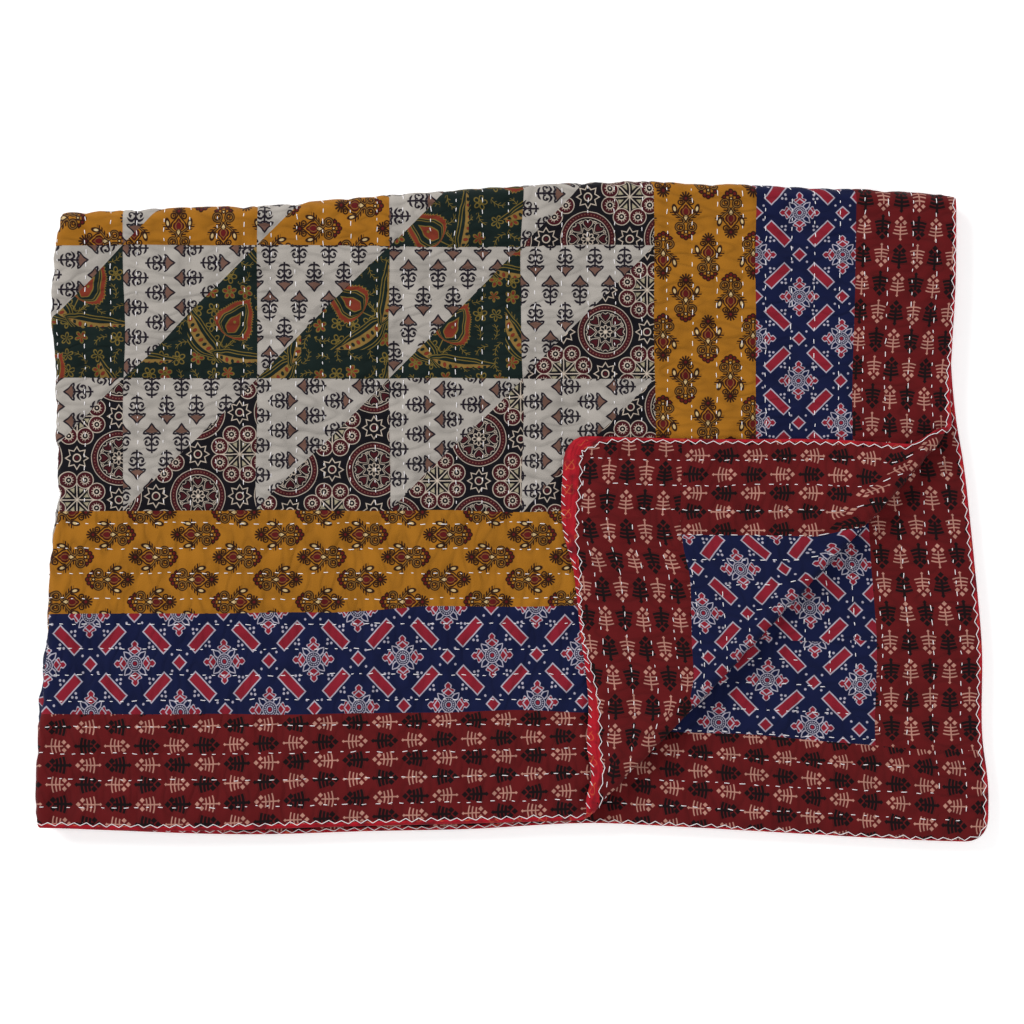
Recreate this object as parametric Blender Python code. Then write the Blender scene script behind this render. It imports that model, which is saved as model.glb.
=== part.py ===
"""A kantha quilt folded in quarters, with the top layer's loose corner turned back.

The quilt is first drawn flat, face up: x across, y along and z up from the middle of its thickness, with the
origin at the middle of the cloth. Three folds then take every point to its place. The loose corner turns up
and over the face, the left half goes behind the right, and the upper half of both goes behind the lower.
The four layers lie back and forth in one solid, with a thin space between them.
"""

import math

import bpy
import numpy as np
from mathutils import Vector
from mathutils.geometry import delaunay_2d_cdt

# Patchwork: a centre of square cells inside three strips on every side.
CELL = 0.130
CELLS_ACROSS = 9
CELLS_ALONG = 5
STRIP = 0.098
STRIPS = 3
CENTRE_HALF_WIDTH = CELLS_ACROSS * CELL / 2
CENTRE_HALF_LENGTH = CELLS_ALONG * CELL / 2
HALF_WIDTH = CENTRE_HALF_WIDTH + STRIPS * STRIP
HALF_LENGTH = CENTRE_HALF_LENGTH + STRIPS * STRIP
CORNER_RADIUS = 0.014

# Quilting: the cloth is drawn in along each row of stitches and full between the rows.
ROWS_PER_CELL = 5
ROWS_PER_STRIP = 4
FULL = 0.0024  # half the thickness between the rows
DRAWN_IN = 0.0010  # half the thickness on a row
EDGE = 0.0018  # half the thickness at the edge of the cloth

# Binding: a narrow strip rolled round the edge, as offset outwards and height.
BINDING_GAP = 0.0003
BINDING_SECTION = (
    (BINDING_GAP, -0.0017),
    (0.0035, -0.0022),
    (0.0082, -0.0010),
    (0.0082, 0.0010),
    (0.0035, 0.0022),
    (BINDING_GAP, 0.0017),
)

# Folds.
LAYER = 0.0062  # from the middle of one layer to the middle of the next
TURN_RADIUS = 0.005
TURN_UP_SIDE = 0.379  # from the loose corner up the right side to where the turn starts
TURN_ALONG_FOOT = 0.364  # from the loose corner along the lower side to where the turn starts
TURN_SETTLES_IN = 0.10  # the turned corner sinks onto the face over this distance
TURN_EASES_IN = 0.02  # and takes its own outline over this one
FOLD_STEPS = 6

# The middle of the folded quilt, in the flat cloth's own x and y.
MIDDLE = (0.4454, -0.3265)

# Outlines of the folded cloth, about its own middle. A soft quilt's sides are never quite straight.
# Left fold, as (y, x), from the foot to the top.
LEFT_SIDE = (
    (-0.307, -0.467), (-0.262, -0.468), (-0.184, -0.462), (-0.105, -0.455), (-0.041, -0.453),
    (0.000, -0.446), (0.081, -0.448), (0.130, -0.449), (0.219, -0.452), (0.268, -0.446), (0.290, -0.439), (0.306, -0.427),
)
# Top fold, as (x, y), from left to right.
TOP_SIDE = (
    (-0.443, 0.294), (-0.336, 0.299), (-0.245, 0.302), (-0.121, 0.312), (-0.048, 0.317),
    (0.105, 0.325), (0.239, 0.321), (0.337, 0.318), (0.434, 0.312),
)
# Cut edges of the top layer: right, as (y, x), and lower, as (x, y).
UPPER_RIGHT = ((-0.293, 0.429), (0.068, 0.424), (0.120, 0.421), (0.165, 0.423), (0.218, 0.426), (0.308, 0.427))
UPPER_FOOT = ((-0.467, -0.301), (-0.316, -0.304), (-0.179, -0.300), (-0.013, -0.296), (0.061, -0.294), (0.429, -0.296))
# The same edges of the layers under it.
UNDER_RIGHT = (
    (-0.293, 0.459), (-0.245, 0.459), (-0.206, 0.454), (-0.115, 0.453), (-0.048, 0.447),
    (0.009, 0.441), (0.058, 0.435), (0.098, 0.428), (0.169, 0.422), (0.308, 0.427),
)
UNDER_FOOT = (
    (-0.467, -0.301), (-0.402, -0.304), (-0.263, -0.308), (-0.169, -0.305), (-0.079, -0.303),
    (0.047, -0.297), (0.108, -0.300), (0.223, -0.307), (0.343, -0.314), (0.453, -0.317),
)
HIDDEN_INSET = 0.004  # each layer further down stops this much short of the one above it
# The top layer gives near its cut edges only, and the layers under it all the way across.
UPPER_GIVES = 8
UNDER_GIVES = 1
# How far the turned corner's two edges lie from a true reflection: its upper edge upwards, as (x, shift), and
# its left edge to the right, as (y, shift).
TURNED_TOP = ((0.060, 0.007), (0.200, -0.002), (0.330, -0.008), (0.380, -0.013), (0.424, -0.017))
TURNED_LEFT = (
    (-0.289, -0.004), (-0.275, 0.004), (-0.262, 0.006), (-0.237, 0.003), (-0.195, 0.006),
    (-0.167, 0.005), (-0.125, 0.001), (-0.093, -0.001), (-0.060, -0.004), (-0.031, -0.011),
    (-0.012, -0.013), (0.022, -0.011), (0.057, -0.007),
)

SIDE_MIRROR_EASE = 0.02  # the left fold bends smoothly over this length where it passes the top fold

# The stack isn't quite level: height, as a share of its own, over these distances.
WAVE_SHARE = 0.03
WAVE_ACROSS = 0.23
WAVE_ALONG = 0.17

# Spacing of points where nothing else sets it.
COARSE = 0.085
ALONG_ROWS = 0.034
ALONG_EDGE = 0.055
MERGE_WITHIN = 1e-5
CLOSING_IN = 30  # rounds of working out where two folds cross


def smooth(t):
    """0 to 1 with level ends."""
    t = np.clip(t, 0.0, 1.0)
    return t * t * (3 - 2 * t)


def curve_through(table, at):
    """A smooth curve through a table's rows, level beyond its ends."""
    knots, values = np.array(table).T
    slopes = np.gradient(values, knots)
    at = np.clip(at, knots[0], knots[-1])
    i = np.clip(np.searchsorted(knots, at) - 1, 0, len(knots) - 2)
    span = knots[i + 1] - knots[i]
    t = (at - knots[i]) / span
    low = (1 + 2 * t) * (1 - t) ** 2 * values[i] + t * (1 - t) ** 2 * span * slopes[i]
    high = t**2 * (3 - 2 * t) * values[i + 1] - t**2 * (1 - t) * span * slopes[i + 1]
    return low + high


# ---------------------------------------------------------------- folding


def half_turn(distance, middle_radius, radius):
    """How far past the start of a fold a point comes, and its height from the fold's axis."""
    angle = np.clip(distance / middle_radius, 0, math.pi)
    straight = np.minimum(distance, 0) - np.maximum(distance - math.pi * middle_radius, 0)
    return straight + radius * np.sin(angle), radius * np.cos(angle)


TURN_NORMAL = np.array([TURN_UP_SIDE, -TURN_ALONG_FOOT]) / math.hypot(TURN_UP_SIDE, TURN_ALONG_FOOT)
TURN_START = np.array([HALF_WIDTH, -HALF_LENGTH + TURN_UP_SIDE])


def past_turn(x, y):
    """Distance past the line where the loose corner starts to turn up."""
    return (x - TURN_START[0]) * TURN_NORMAL[0] + (y - TURN_START[1]) * TURN_NORMAL[1]


def turn_corner(x, y, z):
    """The loose corner rolls up and over, and sinks onto the face beyond the roll."""
    distance = past_turn(x, y)
    run, rise = half_turn(distance, TURN_RADIUS, TURN_RADIUS - z)
    beyond = distance - math.pi * TURN_RADIUS
    sinks = (2 * TURN_RADIUS - LAYER) * smooth(beyond / TURN_SETTLES_IN)
    moved = run - distance
    return x + moved * TURN_NORMAL[0], y + moved * TURN_NORMAL[1], TURN_RADIUS - rise - sinks


def top_fold_start(x):
    """Y where the upper half starts to turn behind, so that the fold's outside comes to the outline."""
    return curve_through(TOP_SIDE, x - MIDDLE[0]) - 1.5 * LAYER - FULL + MIDDLE[1]


def side_fold_start(y):
    """X where the left half starts to turn behind. The part that then goes behind the top fold mirrors the rest."""
    top = TOP_SIDE[0][1] + MIDDLE[1]
    below_top = np.sqrt((y - top) ** 2 + SIDE_MIRROR_EASE**2)
    return curve_through(LEFT_SIDE, top - below_top - MIDDLE[1]) + LAYER / 2 + FULL + MIDDLE[0]


def fold_side(x, y, z):
    """The left half goes behind."""
    radius = LAYER / 2
    start = side_fold_start(y)
    run, rise = half_turn(start - x, radius, radius + z)
    return start - run, y, rise - radius


def top_fold_radius(x, y):
    """The outer layers go round the top fold in a wider turn than the inner ones."""
    return fold_side(x, y, 0)[2] + 1.5 * LAYER


def fold_top(x, y, z, middle_radius):
    """The upper half of both layers goes behind the lower."""
    start = top_fold_start(x)
    run, rise = half_turn(y - start, middle_radius, z + 1.5 * LAYER)
    return x, start + run, rise - 1.5 * LAYER


def fold_all(x, y, z):
    radius = top_fold_radius(x, y)
    return fold_top(*fold_side(*turn_corner(x, y, z)), radius)


def edges_of(under, inset, x, y):
    """Where a layer's right and lower edges lie, from the top layer's, at 0 under, to those of the ones below."""
    right = (1 - under) * curve_through(UPPER_RIGHT, y) + under * (curve_through(UNDER_RIGHT, y) - inset)
    foot = (1 - under) * curve_through(UPPER_FOOT, x) + under * (curve_through(UNDER_FOOT, x) + inset)
    return right, foot


def true_edges_of(x, y):
    """Where straight folds alone bring the right and lower edges of the layer that a flat point is in."""
    side, top = side_fold_start(y), top_fold_start(fold_side(x, y, 0)[0])
    radius = top_fold_radius(x, y)
    from_left_half = np.clip((side - x) / (math.pi * LAYER / 2), 0, 1)
    from_upper_half = np.clip((y - top) / (math.pi * radius), 0, 1)
    right = HALF_WIDTH + (2 * side - math.pi * LAYER / 2) * from_left_half
    foot = -HALF_LENGTH + (2 * top + math.pi * radius) * from_upper_half
    return right - MIDDLE[0], foot - MIDDLE[1]


def folded(flat):
    """Flat points to their places in the folded quilt, drawn to its real outlines, with its lowest face at z = 0."""
    flat_x, flat_y, flat_z = np.asarray(flat, float).T
    x, y, z = fold_all(flat_x, flat_y, flat_z)
    x, y = x - MIDDLE[0], y - MIDDLE[1]
    layer = -fold_all(flat_x, flat_y, 0 * flat_z)[2] / LAYER
    under = np.clip(layer, 0, 1)
    gives = UPPER_GIVES + (UNDER_GIVES - UPPER_GIVES) * under
    true_right, true_foot = true_edges_of(flat_x, flat_y)
    right, foot = edges_of(under, HIDDEN_INSET * np.clip(layer - 1, 0, 2), x, y)
    left, top = curve_through(LEFT_SIDE, y), curve_through(TOP_SIDE, x)
    across = np.clip((x - left) / (true_right - left), 0, 1)
    down = np.clip((top - y) / (top - true_foot), 0, 1)
    turned = smooth((past_turn(flat_x, flat_y) - math.pi * TURN_RADIUS) / TURN_EASES_IN)
    new_x = x + across**gives * (right - true_right) + turned * curve_through(TURNED_LEFT, y)
    new_y = y + down**gives * (foot - true_foot) + turned * curve_through(TURNED_TOP, x)
    wave = np.sin(2 * math.pi * x / WAVE_ACROSS) * np.cos(2 * math.pi * y / WAVE_ALONG)
    return np.column_stack([new_x, new_y, (z + 3 * LAYER + FULL) * (1 + WAVE_SHARE * wave)])


# ---------------------------------------------------------------- points of the flat cloth


def spaced(start, end, step, fixed=()):
    """Places from start to end that take in the fixed ones, none further apart than step."""
    marks = np.unique([start, end, *(place for place in fixed if start < place < end)])
    runs = [
        np.linspace(low, high, math.ceil((high - low) / step) + 1)[:-1]
        for low, high in zip(marks, marks[1:], strict=False)
    ]
    return np.append(np.concatenate(runs), marks[-1])


FOLD_SHARES = np.linspace(0, 1, FOLD_STEPS + 1)
ROW_PITCH = CELL / ROWS_PER_CELL
STRIP_ROW_PITCH = STRIP / ROWS_PER_STRIP
STRIP_HALF_ROWS = 2 * ROWS_PER_STRIP * STRIPS

SIDE_FOLD_LENGTH = math.pi * LAYER / 2
TURN_END = math.pi * TURN_RADIUS

FACE_STARTS = 0.03  # x of the first full line clear of the left fold
# The turned corner hides the face beyond these.
HIDDEN_FROM_X = 0.50
HIDDEN_BELOW_Y = -0.26


def side_fold_line(share, y):
    """X of a line along the left fold, at a share of the way round it."""
    return side_fold_start(y) - share * SIDE_FOLD_LENGTH


def top_fold_line(share, x):
    """Y of a line along the top fold. The left fold there depends on y in turn, so it is closed in on."""
    y = 0
    for _ in range(CLOSING_IN):
        folded_x, _, middle = fold_side(x, y, 0)
        y = top_fold_start(folded_x) + share * math.pi * (middle + 1.5 * LAYER)
    return y


def fold_crossing(side_share, top_share):
    """Where a line of the left fold crosses a line of the top fold."""
    y = 0
    for _ in range(CLOSING_IN):
        x = side_fold_line(side_share, y)
        folded_x, _, middle = fold_side(x, y, 0)
        y = top_fold_start(folded_x) + top_share * math.pi * (middle + 1.5 * LAYER)
    return x, y


def turn_line_ends(distance):
    """Where a line along the turned corner's roll meets the lower side and the right side."""
    along_foot = HALF_WIDTH - TURN_ALONG_FOOT + distance / TURN_NORMAL[0]
    up_side = -HALF_LENGTH + TURN_UP_SIDE + distance / TURN_NORMAL[1]
    return (along_foot, -HALF_LENGTH), (HALF_WIDTH, up_side)


def perimeter():
    """The edge of the cloth, anticlockwise from its lower left corner, as points and outward directions."""
    turns = np.array([turn_line_ends(share * TURN_END) for share in FOLD_SHARES])
    flat_x, flat_y = HALF_WIDTH - CORNER_RADIUS, HALF_LENGTH - CORNER_RADIUS
    folds_at_right = [top_fold_line(share, HALF_WIDTH) for share in FOLD_SHARES]
    folds_at_left = [top_fold_line(share, -HALF_WIDTH) for share in FOLD_SHARES]
    sides = (
        # fixed places, half length, the outward direction's angle
        ([*side_fold_line(FOLD_SHARES, -HALF_LENGTH), *turns[:, 0, 0]], flat_x, -90),
        ([*folds_at_right, *turns[:, 1, 1]], flat_y, 0),
        (-side_fold_line(FOLD_SHARES, HALF_LENGTH), flat_x, 90),
        (-np.array(folds_at_left), flat_y, 180),
    )
    points, outward = [], []
    for fixed, half, degrees in sides:
        out = np.array([math.cos(math.radians(degrees)), math.sin(math.radians(degrees))])
        along = np.array([-out[1], out[0]])
        reach = HALF_WIDTH if degrees in (0, 180) else HALF_LENGTH
        for place in spaced(-half, half, ALONG_EDGE, fixed):
            points.append(out * reach + along * place)
            outward.append(out)
        corner = out * (reach - CORNER_RADIUS) + along * half
        for step in (1, 2):
            angle = math.radians(degrees + 30 * step)
            direction = np.array([math.cos(angle), math.sin(angle)])
            points.append(corner + direction * CORNER_RADIUS)
            outward.append(direction)
    return np.array(points), np.array(outward)


def points_of(x, y):
    return list(zip(x, y, strict=True))


def fold_lines(row_x, row_y):
    """Lines along the three folds. The rows that show cross them at shared points."""
    for share in FOLD_SHARES:
        crossings = [fold_crossing(share, other)[1] for other in FOLD_SHARES]
        places = spaced(-HALF_LENGTH, HALF_LENGTH, COARSE, [*crossings, *row_y])
        yield points_of(side_fold_line(share, places), places)
        crossings = [fold_crossing(other, share)[0] for other in FOLD_SHARES]
        places = spaced(-HALF_WIDTH, HALF_WIDTH, COARSE, [*crossings, *row_x])
        yield points_of(places, top_fold_line(share, places))
        foot_end, side_end = turn_line_ends(share * TURN_END)
        steps = np.linspace(0, 1, math.ceil(math.dist(foot_end, side_end) / ALONG_ROWS) + 1)
        yield [tuple(np.add(foot_end, step * np.subtract(side_end, foot_end))) for step in steps]


def face_row_places():
    """X of the rows up the face and y of the rows along its lower strips, with the full lines between them."""
    centre = np.arange(CENTRE_HALF_WIDTH, FACE_STARTS, -ROW_PITCH / 2)
    strips = CENTRE_HALF_WIDTH + np.arange(1, STRIP_HALF_ROWS) * STRIP_ROW_PITCH / 2
    foot = -CENTRE_HALF_LENGTH - np.arange(STRIP_HALF_ROWS) * STRIP_ROW_PITCH / 2
    return np.concatenate([centre, strips]), foot


def face_lines():
    """The rows and full lines that show on the face of the top layer."""
    row_x, row_y = face_row_places()
    for x in row_x:
        lowest = HIDDEN_BELOW_Y if x > HIDDEN_FROM_X else -CENTRE_HALF_LENGTH + ROW_PITCH / 2
        folds = [top_fold_line(share, x) for share in FOLD_SHARES]
        yield [(x, y) for y in spaced(lowest, folds[-1], ALONG_ROWS, folds)]
    for y in row_y:
        folds = side_fold_line(FOLD_SHARES, y)
        yield [(x, y) for x in spaced(folds[-1], HIDDEN_FROM_X, ALONG_ROWS, folds)]


def corner_lines(side, start):
    """The rows and full lines round a loose corner, from a distance past the turn's line, on one side."""
    for half_row in range(1, STRIP_HALF_ROWS):
        inwards = half_row * STRIP_ROW_PITCH / 2
        corner = np.array([HALF_WIDTH - inwards, inwards - HALF_LENGTH])
        spare = past_turn(*corner) - start
        if spare < STRIP_ROW_PITCH / 2:
            continue
        foot_run = spaced(corner[0] - spare / TURN_NORMAL[0], corner[0], ALONG_ROWS)
        side_run = spaced(corner[1], corner[1] - spare / TURN_NORMAL[1], ALONG_ROWS)
        line = [(x, corner[1]) for x in foot_run] + [(corner[0], y) for y in side_run[1:]]
        yield [(side * x, y) for x, y in line]


def coarse_points(is_busy):
    """A wide grid for the layers that don't show, kept off the folds and the rows."""
    for x in spaced(-HALF_WIDTH, HALF_WIDTH, COARSE)[1:-1]:
        for y in spaced(-HALF_LENGTH, HALF_LENGTH, COARSE)[1:-1]:
            to_fold = min(abs(x - side_fold_start(y)), abs(y - top_fold_line(0.5, x)), abs(past_turn(x, y)))
            if to_fold > COARSE / 2 and not is_busy(x, y):
                yield x, y


def rows_on_face(x, y):
    under_turn = x > HIDDEN_FROM_X and y < HIDDEN_BELOW_Y
    return x > side_fold_line(1, y) and y < top_fold_line(1, x) and not under_turn


def rows_on_back(x, y):
    return past_turn(abs(x), y) > -COARSE / 2


def triangulated(edge, lines, spare):
    """Triangles over the cloth that keep its edge and the lines given: points, each one's place on the edge, faces."""
    points = [tuple(point) for point in edge]
    links = [(i, (i + 1) % len(edge)) for i in range(len(edge))]
    for line in lines:
        first = len(points)
        points += line
        links += [(first + i, first + i + 1) for i in range(len(line) - 1)]
    points += spare
    found, _, faces, sources, _, _ = delaunay_2d_cdt([Vector(p) for p in points], links, [], 1, MERGE_WITHIN)
    on_edge = [min((s for s in source if s < len(edge)), default=-1) for source in sources]
    return np.array([tuple(p) for p in found]), np.array(on_edge), faces


# ---------------------------------------------------------------- thickness


def swell(from_full_line, pitch):
    """Half the thickness at a distance from a full line: least on each row of stitches, half a pitch away."""
    return DRAWN_IN + (FULL - DRAWN_IN) * np.abs(np.cos(math.pi * from_full_line / pitch))


def half_thickness_of_face(x, y):
    """Rows run up the centre and round the strips. Layers that don't show are full, and lie flat."""
    in_centre = x < CENTRE_HALF_WIDTH
    up_face = swell(x - CENTRE_HALF_WIDTH, np.where(in_centre, ROW_PITCH, STRIP_ROW_PITCH))
    along_foot = swell(-CENTRE_HALF_LENGTH - y, STRIP_ROW_PITCH)
    rows = np.where(y < -CENTRE_HALF_LENGTH + ROW_PITCH / 4, along_foot, up_face)
    rows = np.where((x > HIDDEN_FROM_X + ALONG_ROWS / 2) & (y < HIDDEN_BELOW_Y - ALONG_ROWS / 2), FULL, rows)
    round_side = (side_fold_start(y) - x) / SIDE_FOLD_LENGTH
    round_top = (y - top_fold_start(x)) / (math.pi * top_fold_radius(x, y))
    shows = (1 - smooth(2 * round_side - 1)) * (1 - smooth(2 * round_top - 1))
    return FULL + (rows - FULL) * shows


def half_thickness_of_back(x, y):
    """Rows run round both loose corners that show the back."""
    inwards = np.minimum(HALF_WIDTH - np.abs(x), HALF_LENGTH + y)
    rows = swell(inwards, STRIP_ROW_PITCH)
    beyond = past_turn(np.abs(x), y) - np.where(x > 0, TURN_END, -COARSE / 2)
    return FULL + (rows - FULL) * smooth(beyond / STRIP_ROW_PITCH)


# ---------------------------------------------------------------- the two pieces


def cloth(name, colour, roughness):
    material = bpy.data.materials.new(name)
    material.use_nodes = True
    shader = material.node_tree.nodes["Principled BSDF"]
    shader.inputs["Base Color"].default_value = (*colour, 1)
    shader.inputs["Roughness"].default_value = roughness
    shader.inputs["Metallic"].default_value = 0
    return material


def add_piece(name, points, faces, material):
    mesh = bpy.data.meshes.new(name)
    mesh.from_pydata([tuple(point) for point in points], [], faces)
    mesh.materials.append(material)
    mesh.shade_smooth()
    piece = bpy.data.objects.new(name, mesh)
    bpy.context.scene.collection.objects.link(piece)
    return piece


def make_quilt(edge):
    """Front and back have their own triangles and share the points of the edge, where a rim joins them."""
    row_x, row_y = face_row_places()
    sides = (
        # lines, coarse points, half thickness, which way up
        ([*fold_lines(row_x, row_y), *face_lines()], coarse_points(rows_on_face), half_thickness_of_face, 1),
        (
            [*fold_lines([], []), *corner_lines(1, TURN_END), *corner_lines(-1, -COARSE / 2)],
            coarse_points(rows_on_back),
            half_thickness_of_back,
            -1,
        ),
    )
    points, faces, rims = [], [], []
    for lines, spare, half_thickness, up in sides:
        flat, on_edge, triangles = triangulated(edge, lines, list(spare))
        height = np.where(on_edge >= 0, EDGE, half_thickness(flat[:, 0], flat[:, 1]))
        first = len(points)
        points += list(np.column_stack([flat, up * height]))
        faces += [[first + i for i in triangle[::up]] for triangle in triangles]
        rims.append({place: first + i for i, place in enumerate(on_edge) if place >= 0})
    upper, lower = rims
    for i in range(len(edge)):
        j = (i + 1) % len(edge)
        faces += [[lower[i], lower[j], upper[j]], [lower[i], upper[j], upper[i]]]
    return add_piece("quilt", folded(points), faces, cloth("printed cotton", (0.20, 0.03, 0.03), 0.9))


def make_binding(edge, outward):
    """One closed ring round the whole edge, through the same folds."""
    section = len(BINDING_SECTION)
    points = [(*(p + out * offset), z) for p, out in zip(edge, outward, strict=True) for offset, z in BINDING_SECTION]
    faces = []
    for i in range(len(edge)):
        this, following = i * section, (i + 1) % len(edge) * section
        for k in range(section):
            n = (k + 1) % section
            faces += [[this + k, following + k, this + n], [following + k, following + n, this + n]]
    return add_piece("binding", folded(points), faces, cloth("red bias cotton", (0.52, 0.02, 0.03), 0.85))


def main():
    for startup in list(bpy.data.objects):
        bpy.data.objects.remove(startup)
    edge, outward = perimeter()
    make_quilt(edge)
    make_binding(edge, outward)


main()
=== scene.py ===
"""The looks of the folded kantha quilt: printed patchwork, backing, rolled binding and hand stitching.

The cloth is drawn flat first, in metres: x across, y along, z up from the middle of its thickness, with the
origin at the middle of the cloth. The folds of the CAD solid then take every point to its place. The prints
are worked out by shader nodes from a UV map that holds each fabric's own coordinates.
"""

import math
from functools import partialmethod, reduce

import bpy
import numpy as np
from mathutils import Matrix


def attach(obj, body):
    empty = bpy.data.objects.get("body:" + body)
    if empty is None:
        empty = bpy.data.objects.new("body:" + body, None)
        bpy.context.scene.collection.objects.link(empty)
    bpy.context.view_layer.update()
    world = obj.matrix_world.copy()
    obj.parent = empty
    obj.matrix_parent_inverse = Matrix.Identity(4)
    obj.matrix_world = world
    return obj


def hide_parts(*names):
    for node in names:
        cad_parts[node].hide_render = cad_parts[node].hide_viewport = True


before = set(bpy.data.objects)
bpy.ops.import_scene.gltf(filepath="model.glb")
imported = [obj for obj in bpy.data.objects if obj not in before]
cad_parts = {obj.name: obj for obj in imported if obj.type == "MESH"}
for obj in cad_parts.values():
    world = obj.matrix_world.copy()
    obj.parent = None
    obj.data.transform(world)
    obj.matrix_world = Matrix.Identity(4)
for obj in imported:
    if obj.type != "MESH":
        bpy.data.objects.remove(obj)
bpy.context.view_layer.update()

MM = 0.001
TINY = 1e-12  # keeps what is divided by away from zero

# ---------------------------------------------------------------- the cloth's sizes, as in the CAD solid

CELL = 0.130
CELLS_ACROSS = 9
CELLS_ALONG = 5
STRIP = 0.098
STRIPS = 3
CENTRE_HALF_WIDTH = CELLS_ACROSS * CELL / 2
CENTRE_HALF_LENGTH = CELLS_ALONG * CELL / 2
HALF_WIDTH = CENTRE_HALF_WIDTH + STRIPS * STRIP
HALF_LENGTH = CENTRE_HALF_LENGTH + STRIPS * STRIP
CORNER_RADIUS = 0.014
ROWS_IN_CELL = 5
ROWS_IN_STRIP = 4
ROW_PITCH = CELL / ROWS_IN_CELL
STRIP_ROW_PITCH = STRIP / ROWS_IN_STRIP

# Half the cloth's thickness between the rows of stitches, on them, and at its edge.
FULL = 0.0024
DRAWN_IN = 0.0010
EDGE = 0.0016

LAYER = 0.0062
TURN_RADIUS = 0.005
TURN_UP_SIDE = 0.379
TURN_ALONG_FOOT = 0.364
TURN_SETTLES_IN = 0.10
TURN_EASES_IN = 0.02

# The folded quilt's middle on the flat cloth, and its outline from there: (y, x) at the sides, (x, y) at the
# top and the foot.
MIDDLE = (0.4454, -0.3265)
LEFT_SIDE = (
    (-0.307, -0.467), (-0.262, -0.468), (-0.184, -0.462), (-0.105, -0.455), (-0.041, -0.453),
    (0.000, -0.446), (0.081, -0.448), (0.130, -0.449), (0.219, -0.452), (0.268, -0.446),
    (0.290, -0.439), (0.306, -0.427),
)
TOP_SIDE = (
    (-0.443, 0.294), (-0.336, 0.299), (-0.245, 0.302), (-0.121, 0.312), (-0.048, 0.317), (0.105, 0.325),
    (0.239, 0.321), (0.337, 0.318), (0.434, 0.312),
)
UPPER_RIGHT = (
    (-0.293, 0.429), (0.068, 0.424), (0.120, 0.421), (0.165, 0.423), (0.218, 0.426), (0.308, 0.427),
)
UPPER_FOOT = (
    (-0.467, -0.301), (-0.316, -0.304), (-0.179, -0.300), (-0.013, -0.296), (0.061, -0.294),
    (0.429, -0.296),
)
UNDER_RIGHT = (
    (-0.293, 0.459), (-0.245, 0.459), (-0.206, 0.454), (-0.115, 0.453), (-0.048, 0.447), (0.009, 0.441),
    (0.058, 0.435), (0.098, 0.428), (0.169, 0.422), (0.308, 0.427),
)
UNDER_FOOT = (
    (-0.467, -0.301), (-0.402, -0.304), (-0.263, -0.308), (-0.169, -0.305), (-0.079, -0.303),
    (0.047, -0.297), (0.108, -0.300), (0.223, -0.307), (0.343, -0.314), (0.453, -0.317),
)
HIDDEN_INSET = 0.004
UPPER_GIVES = 8
UNDER_GIVES = 1
TURNED_TOP = ((0.060, 0.007), (0.200, -0.002), (0.330, -0.008), (0.380, -0.013), (0.424, -0.017))
TURNED_LEFT = (
    (-0.289, -0.004), (-0.275, 0.004), (-0.262, 0.006), (-0.237, 0.003), (-0.195, 0.006),
    (-0.167, 0.005), (-0.125, 0.001), (-0.093, -0.001), (-0.060, -0.004), (-0.031, -0.011),
    (-0.012, -0.013), (0.022, -0.011), (0.057, -0.007),
)
SIDE_MIRROR_EASE = 0.02
WAVE_SHARE = 0.03
WAVE_ACROSS = 0.23
WAVE_ALONG = 0.17


def smooth(t):
    """0 to 1 with level ends."""
    t = np.clip(t, 0.0, 1.0)
    return t * t * (3 - 2 * t)


def curve_through(table, at):
    """A smooth curve through a table's rows, level beyond its ends."""
    knots, values = np.array(table).T
    slopes = np.gradient(values, knots)
    at = np.clip(at, knots[0], knots[-1])
    i = np.clip(np.searchsorted(knots, at) - 1, 0, len(knots) - 2)
    span = knots[i + 1] - knots[i]
    t = (at - knots[i]) / span
    low = (1 + 2 * t) * (1 - t) ** 2 * values[i] + t * (1 - t) ** 2 * span * slopes[i]
    high = t**2 * (3 - 2 * t) * values[i + 1] - t**2 * (1 - t) * span * slopes[i + 1]
    return low + high


# ---------------------------------------------------------------- folding, as in the CAD solid


def half_turn(distance, middle_radius, radius):
    """How far past the start of a fold a point comes, and its height from the fold's axis."""
    angle = np.clip(distance / middle_radius, 0, math.pi)
    straight = np.minimum(distance, 0) - np.maximum(distance - math.pi * middle_radius, 0)
    return straight + radius * np.sin(angle), radius * np.cos(angle)


TURN_NORMAL = np.array([TURN_UP_SIDE, -TURN_ALONG_FOOT]) / math.hypot(TURN_UP_SIDE, TURN_ALONG_FOOT)
TURN_START = np.array([HALF_WIDTH, -HALF_LENGTH + TURN_UP_SIDE])
TURN_LENGTH = math.pi * TURN_RADIUS


def past_turn(x, y):
    """Distance past the line where the loose corner starts to turn up."""
    return (x - TURN_START[0]) * TURN_NORMAL[0] + (y - TURN_START[1]) * TURN_NORMAL[1]


def turn_corner(x, y, z):
    """The loose corner rolls up and over, and sinks onto the face beyond the roll."""
    distance = past_turn(x, y)
    run, rise = half_turn(distance, TURN_RADIUS, TURN_RADIUS - z)
    sinks = (2 * TURN_RADIUS - LAYER) * smooth((distance - TURN_LENGTH) / TURN_SETTLES_IN)
    moved = run - distance
    return x + moved * TURN_NORMAL[0], y + moved * TURN_NORMAL[1], TURN_RADIUS - rise - sinks


def top_fold_start(x):
    """Y where the upper half starts to turn behind."""
    return curve_through(TOP_SIDE, x - MIDDLE[0]) - 1.5 * LAYER - FULL + MIDDLE[1]


def side_fold_start(y):
    """X where the left half starts to turn behind."""
    top = TOP_SIDE[0][1] + MIDDLE[1]
    below_top = np.sqrt((y - top) ** 2 + SIDE_MIRROR_EASE**2)
    return curve_through(LEFT_SIDE, top - below_top - MIDDLE[1]) + LAYER / 2 + FULL + MIDDLE[0]


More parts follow.
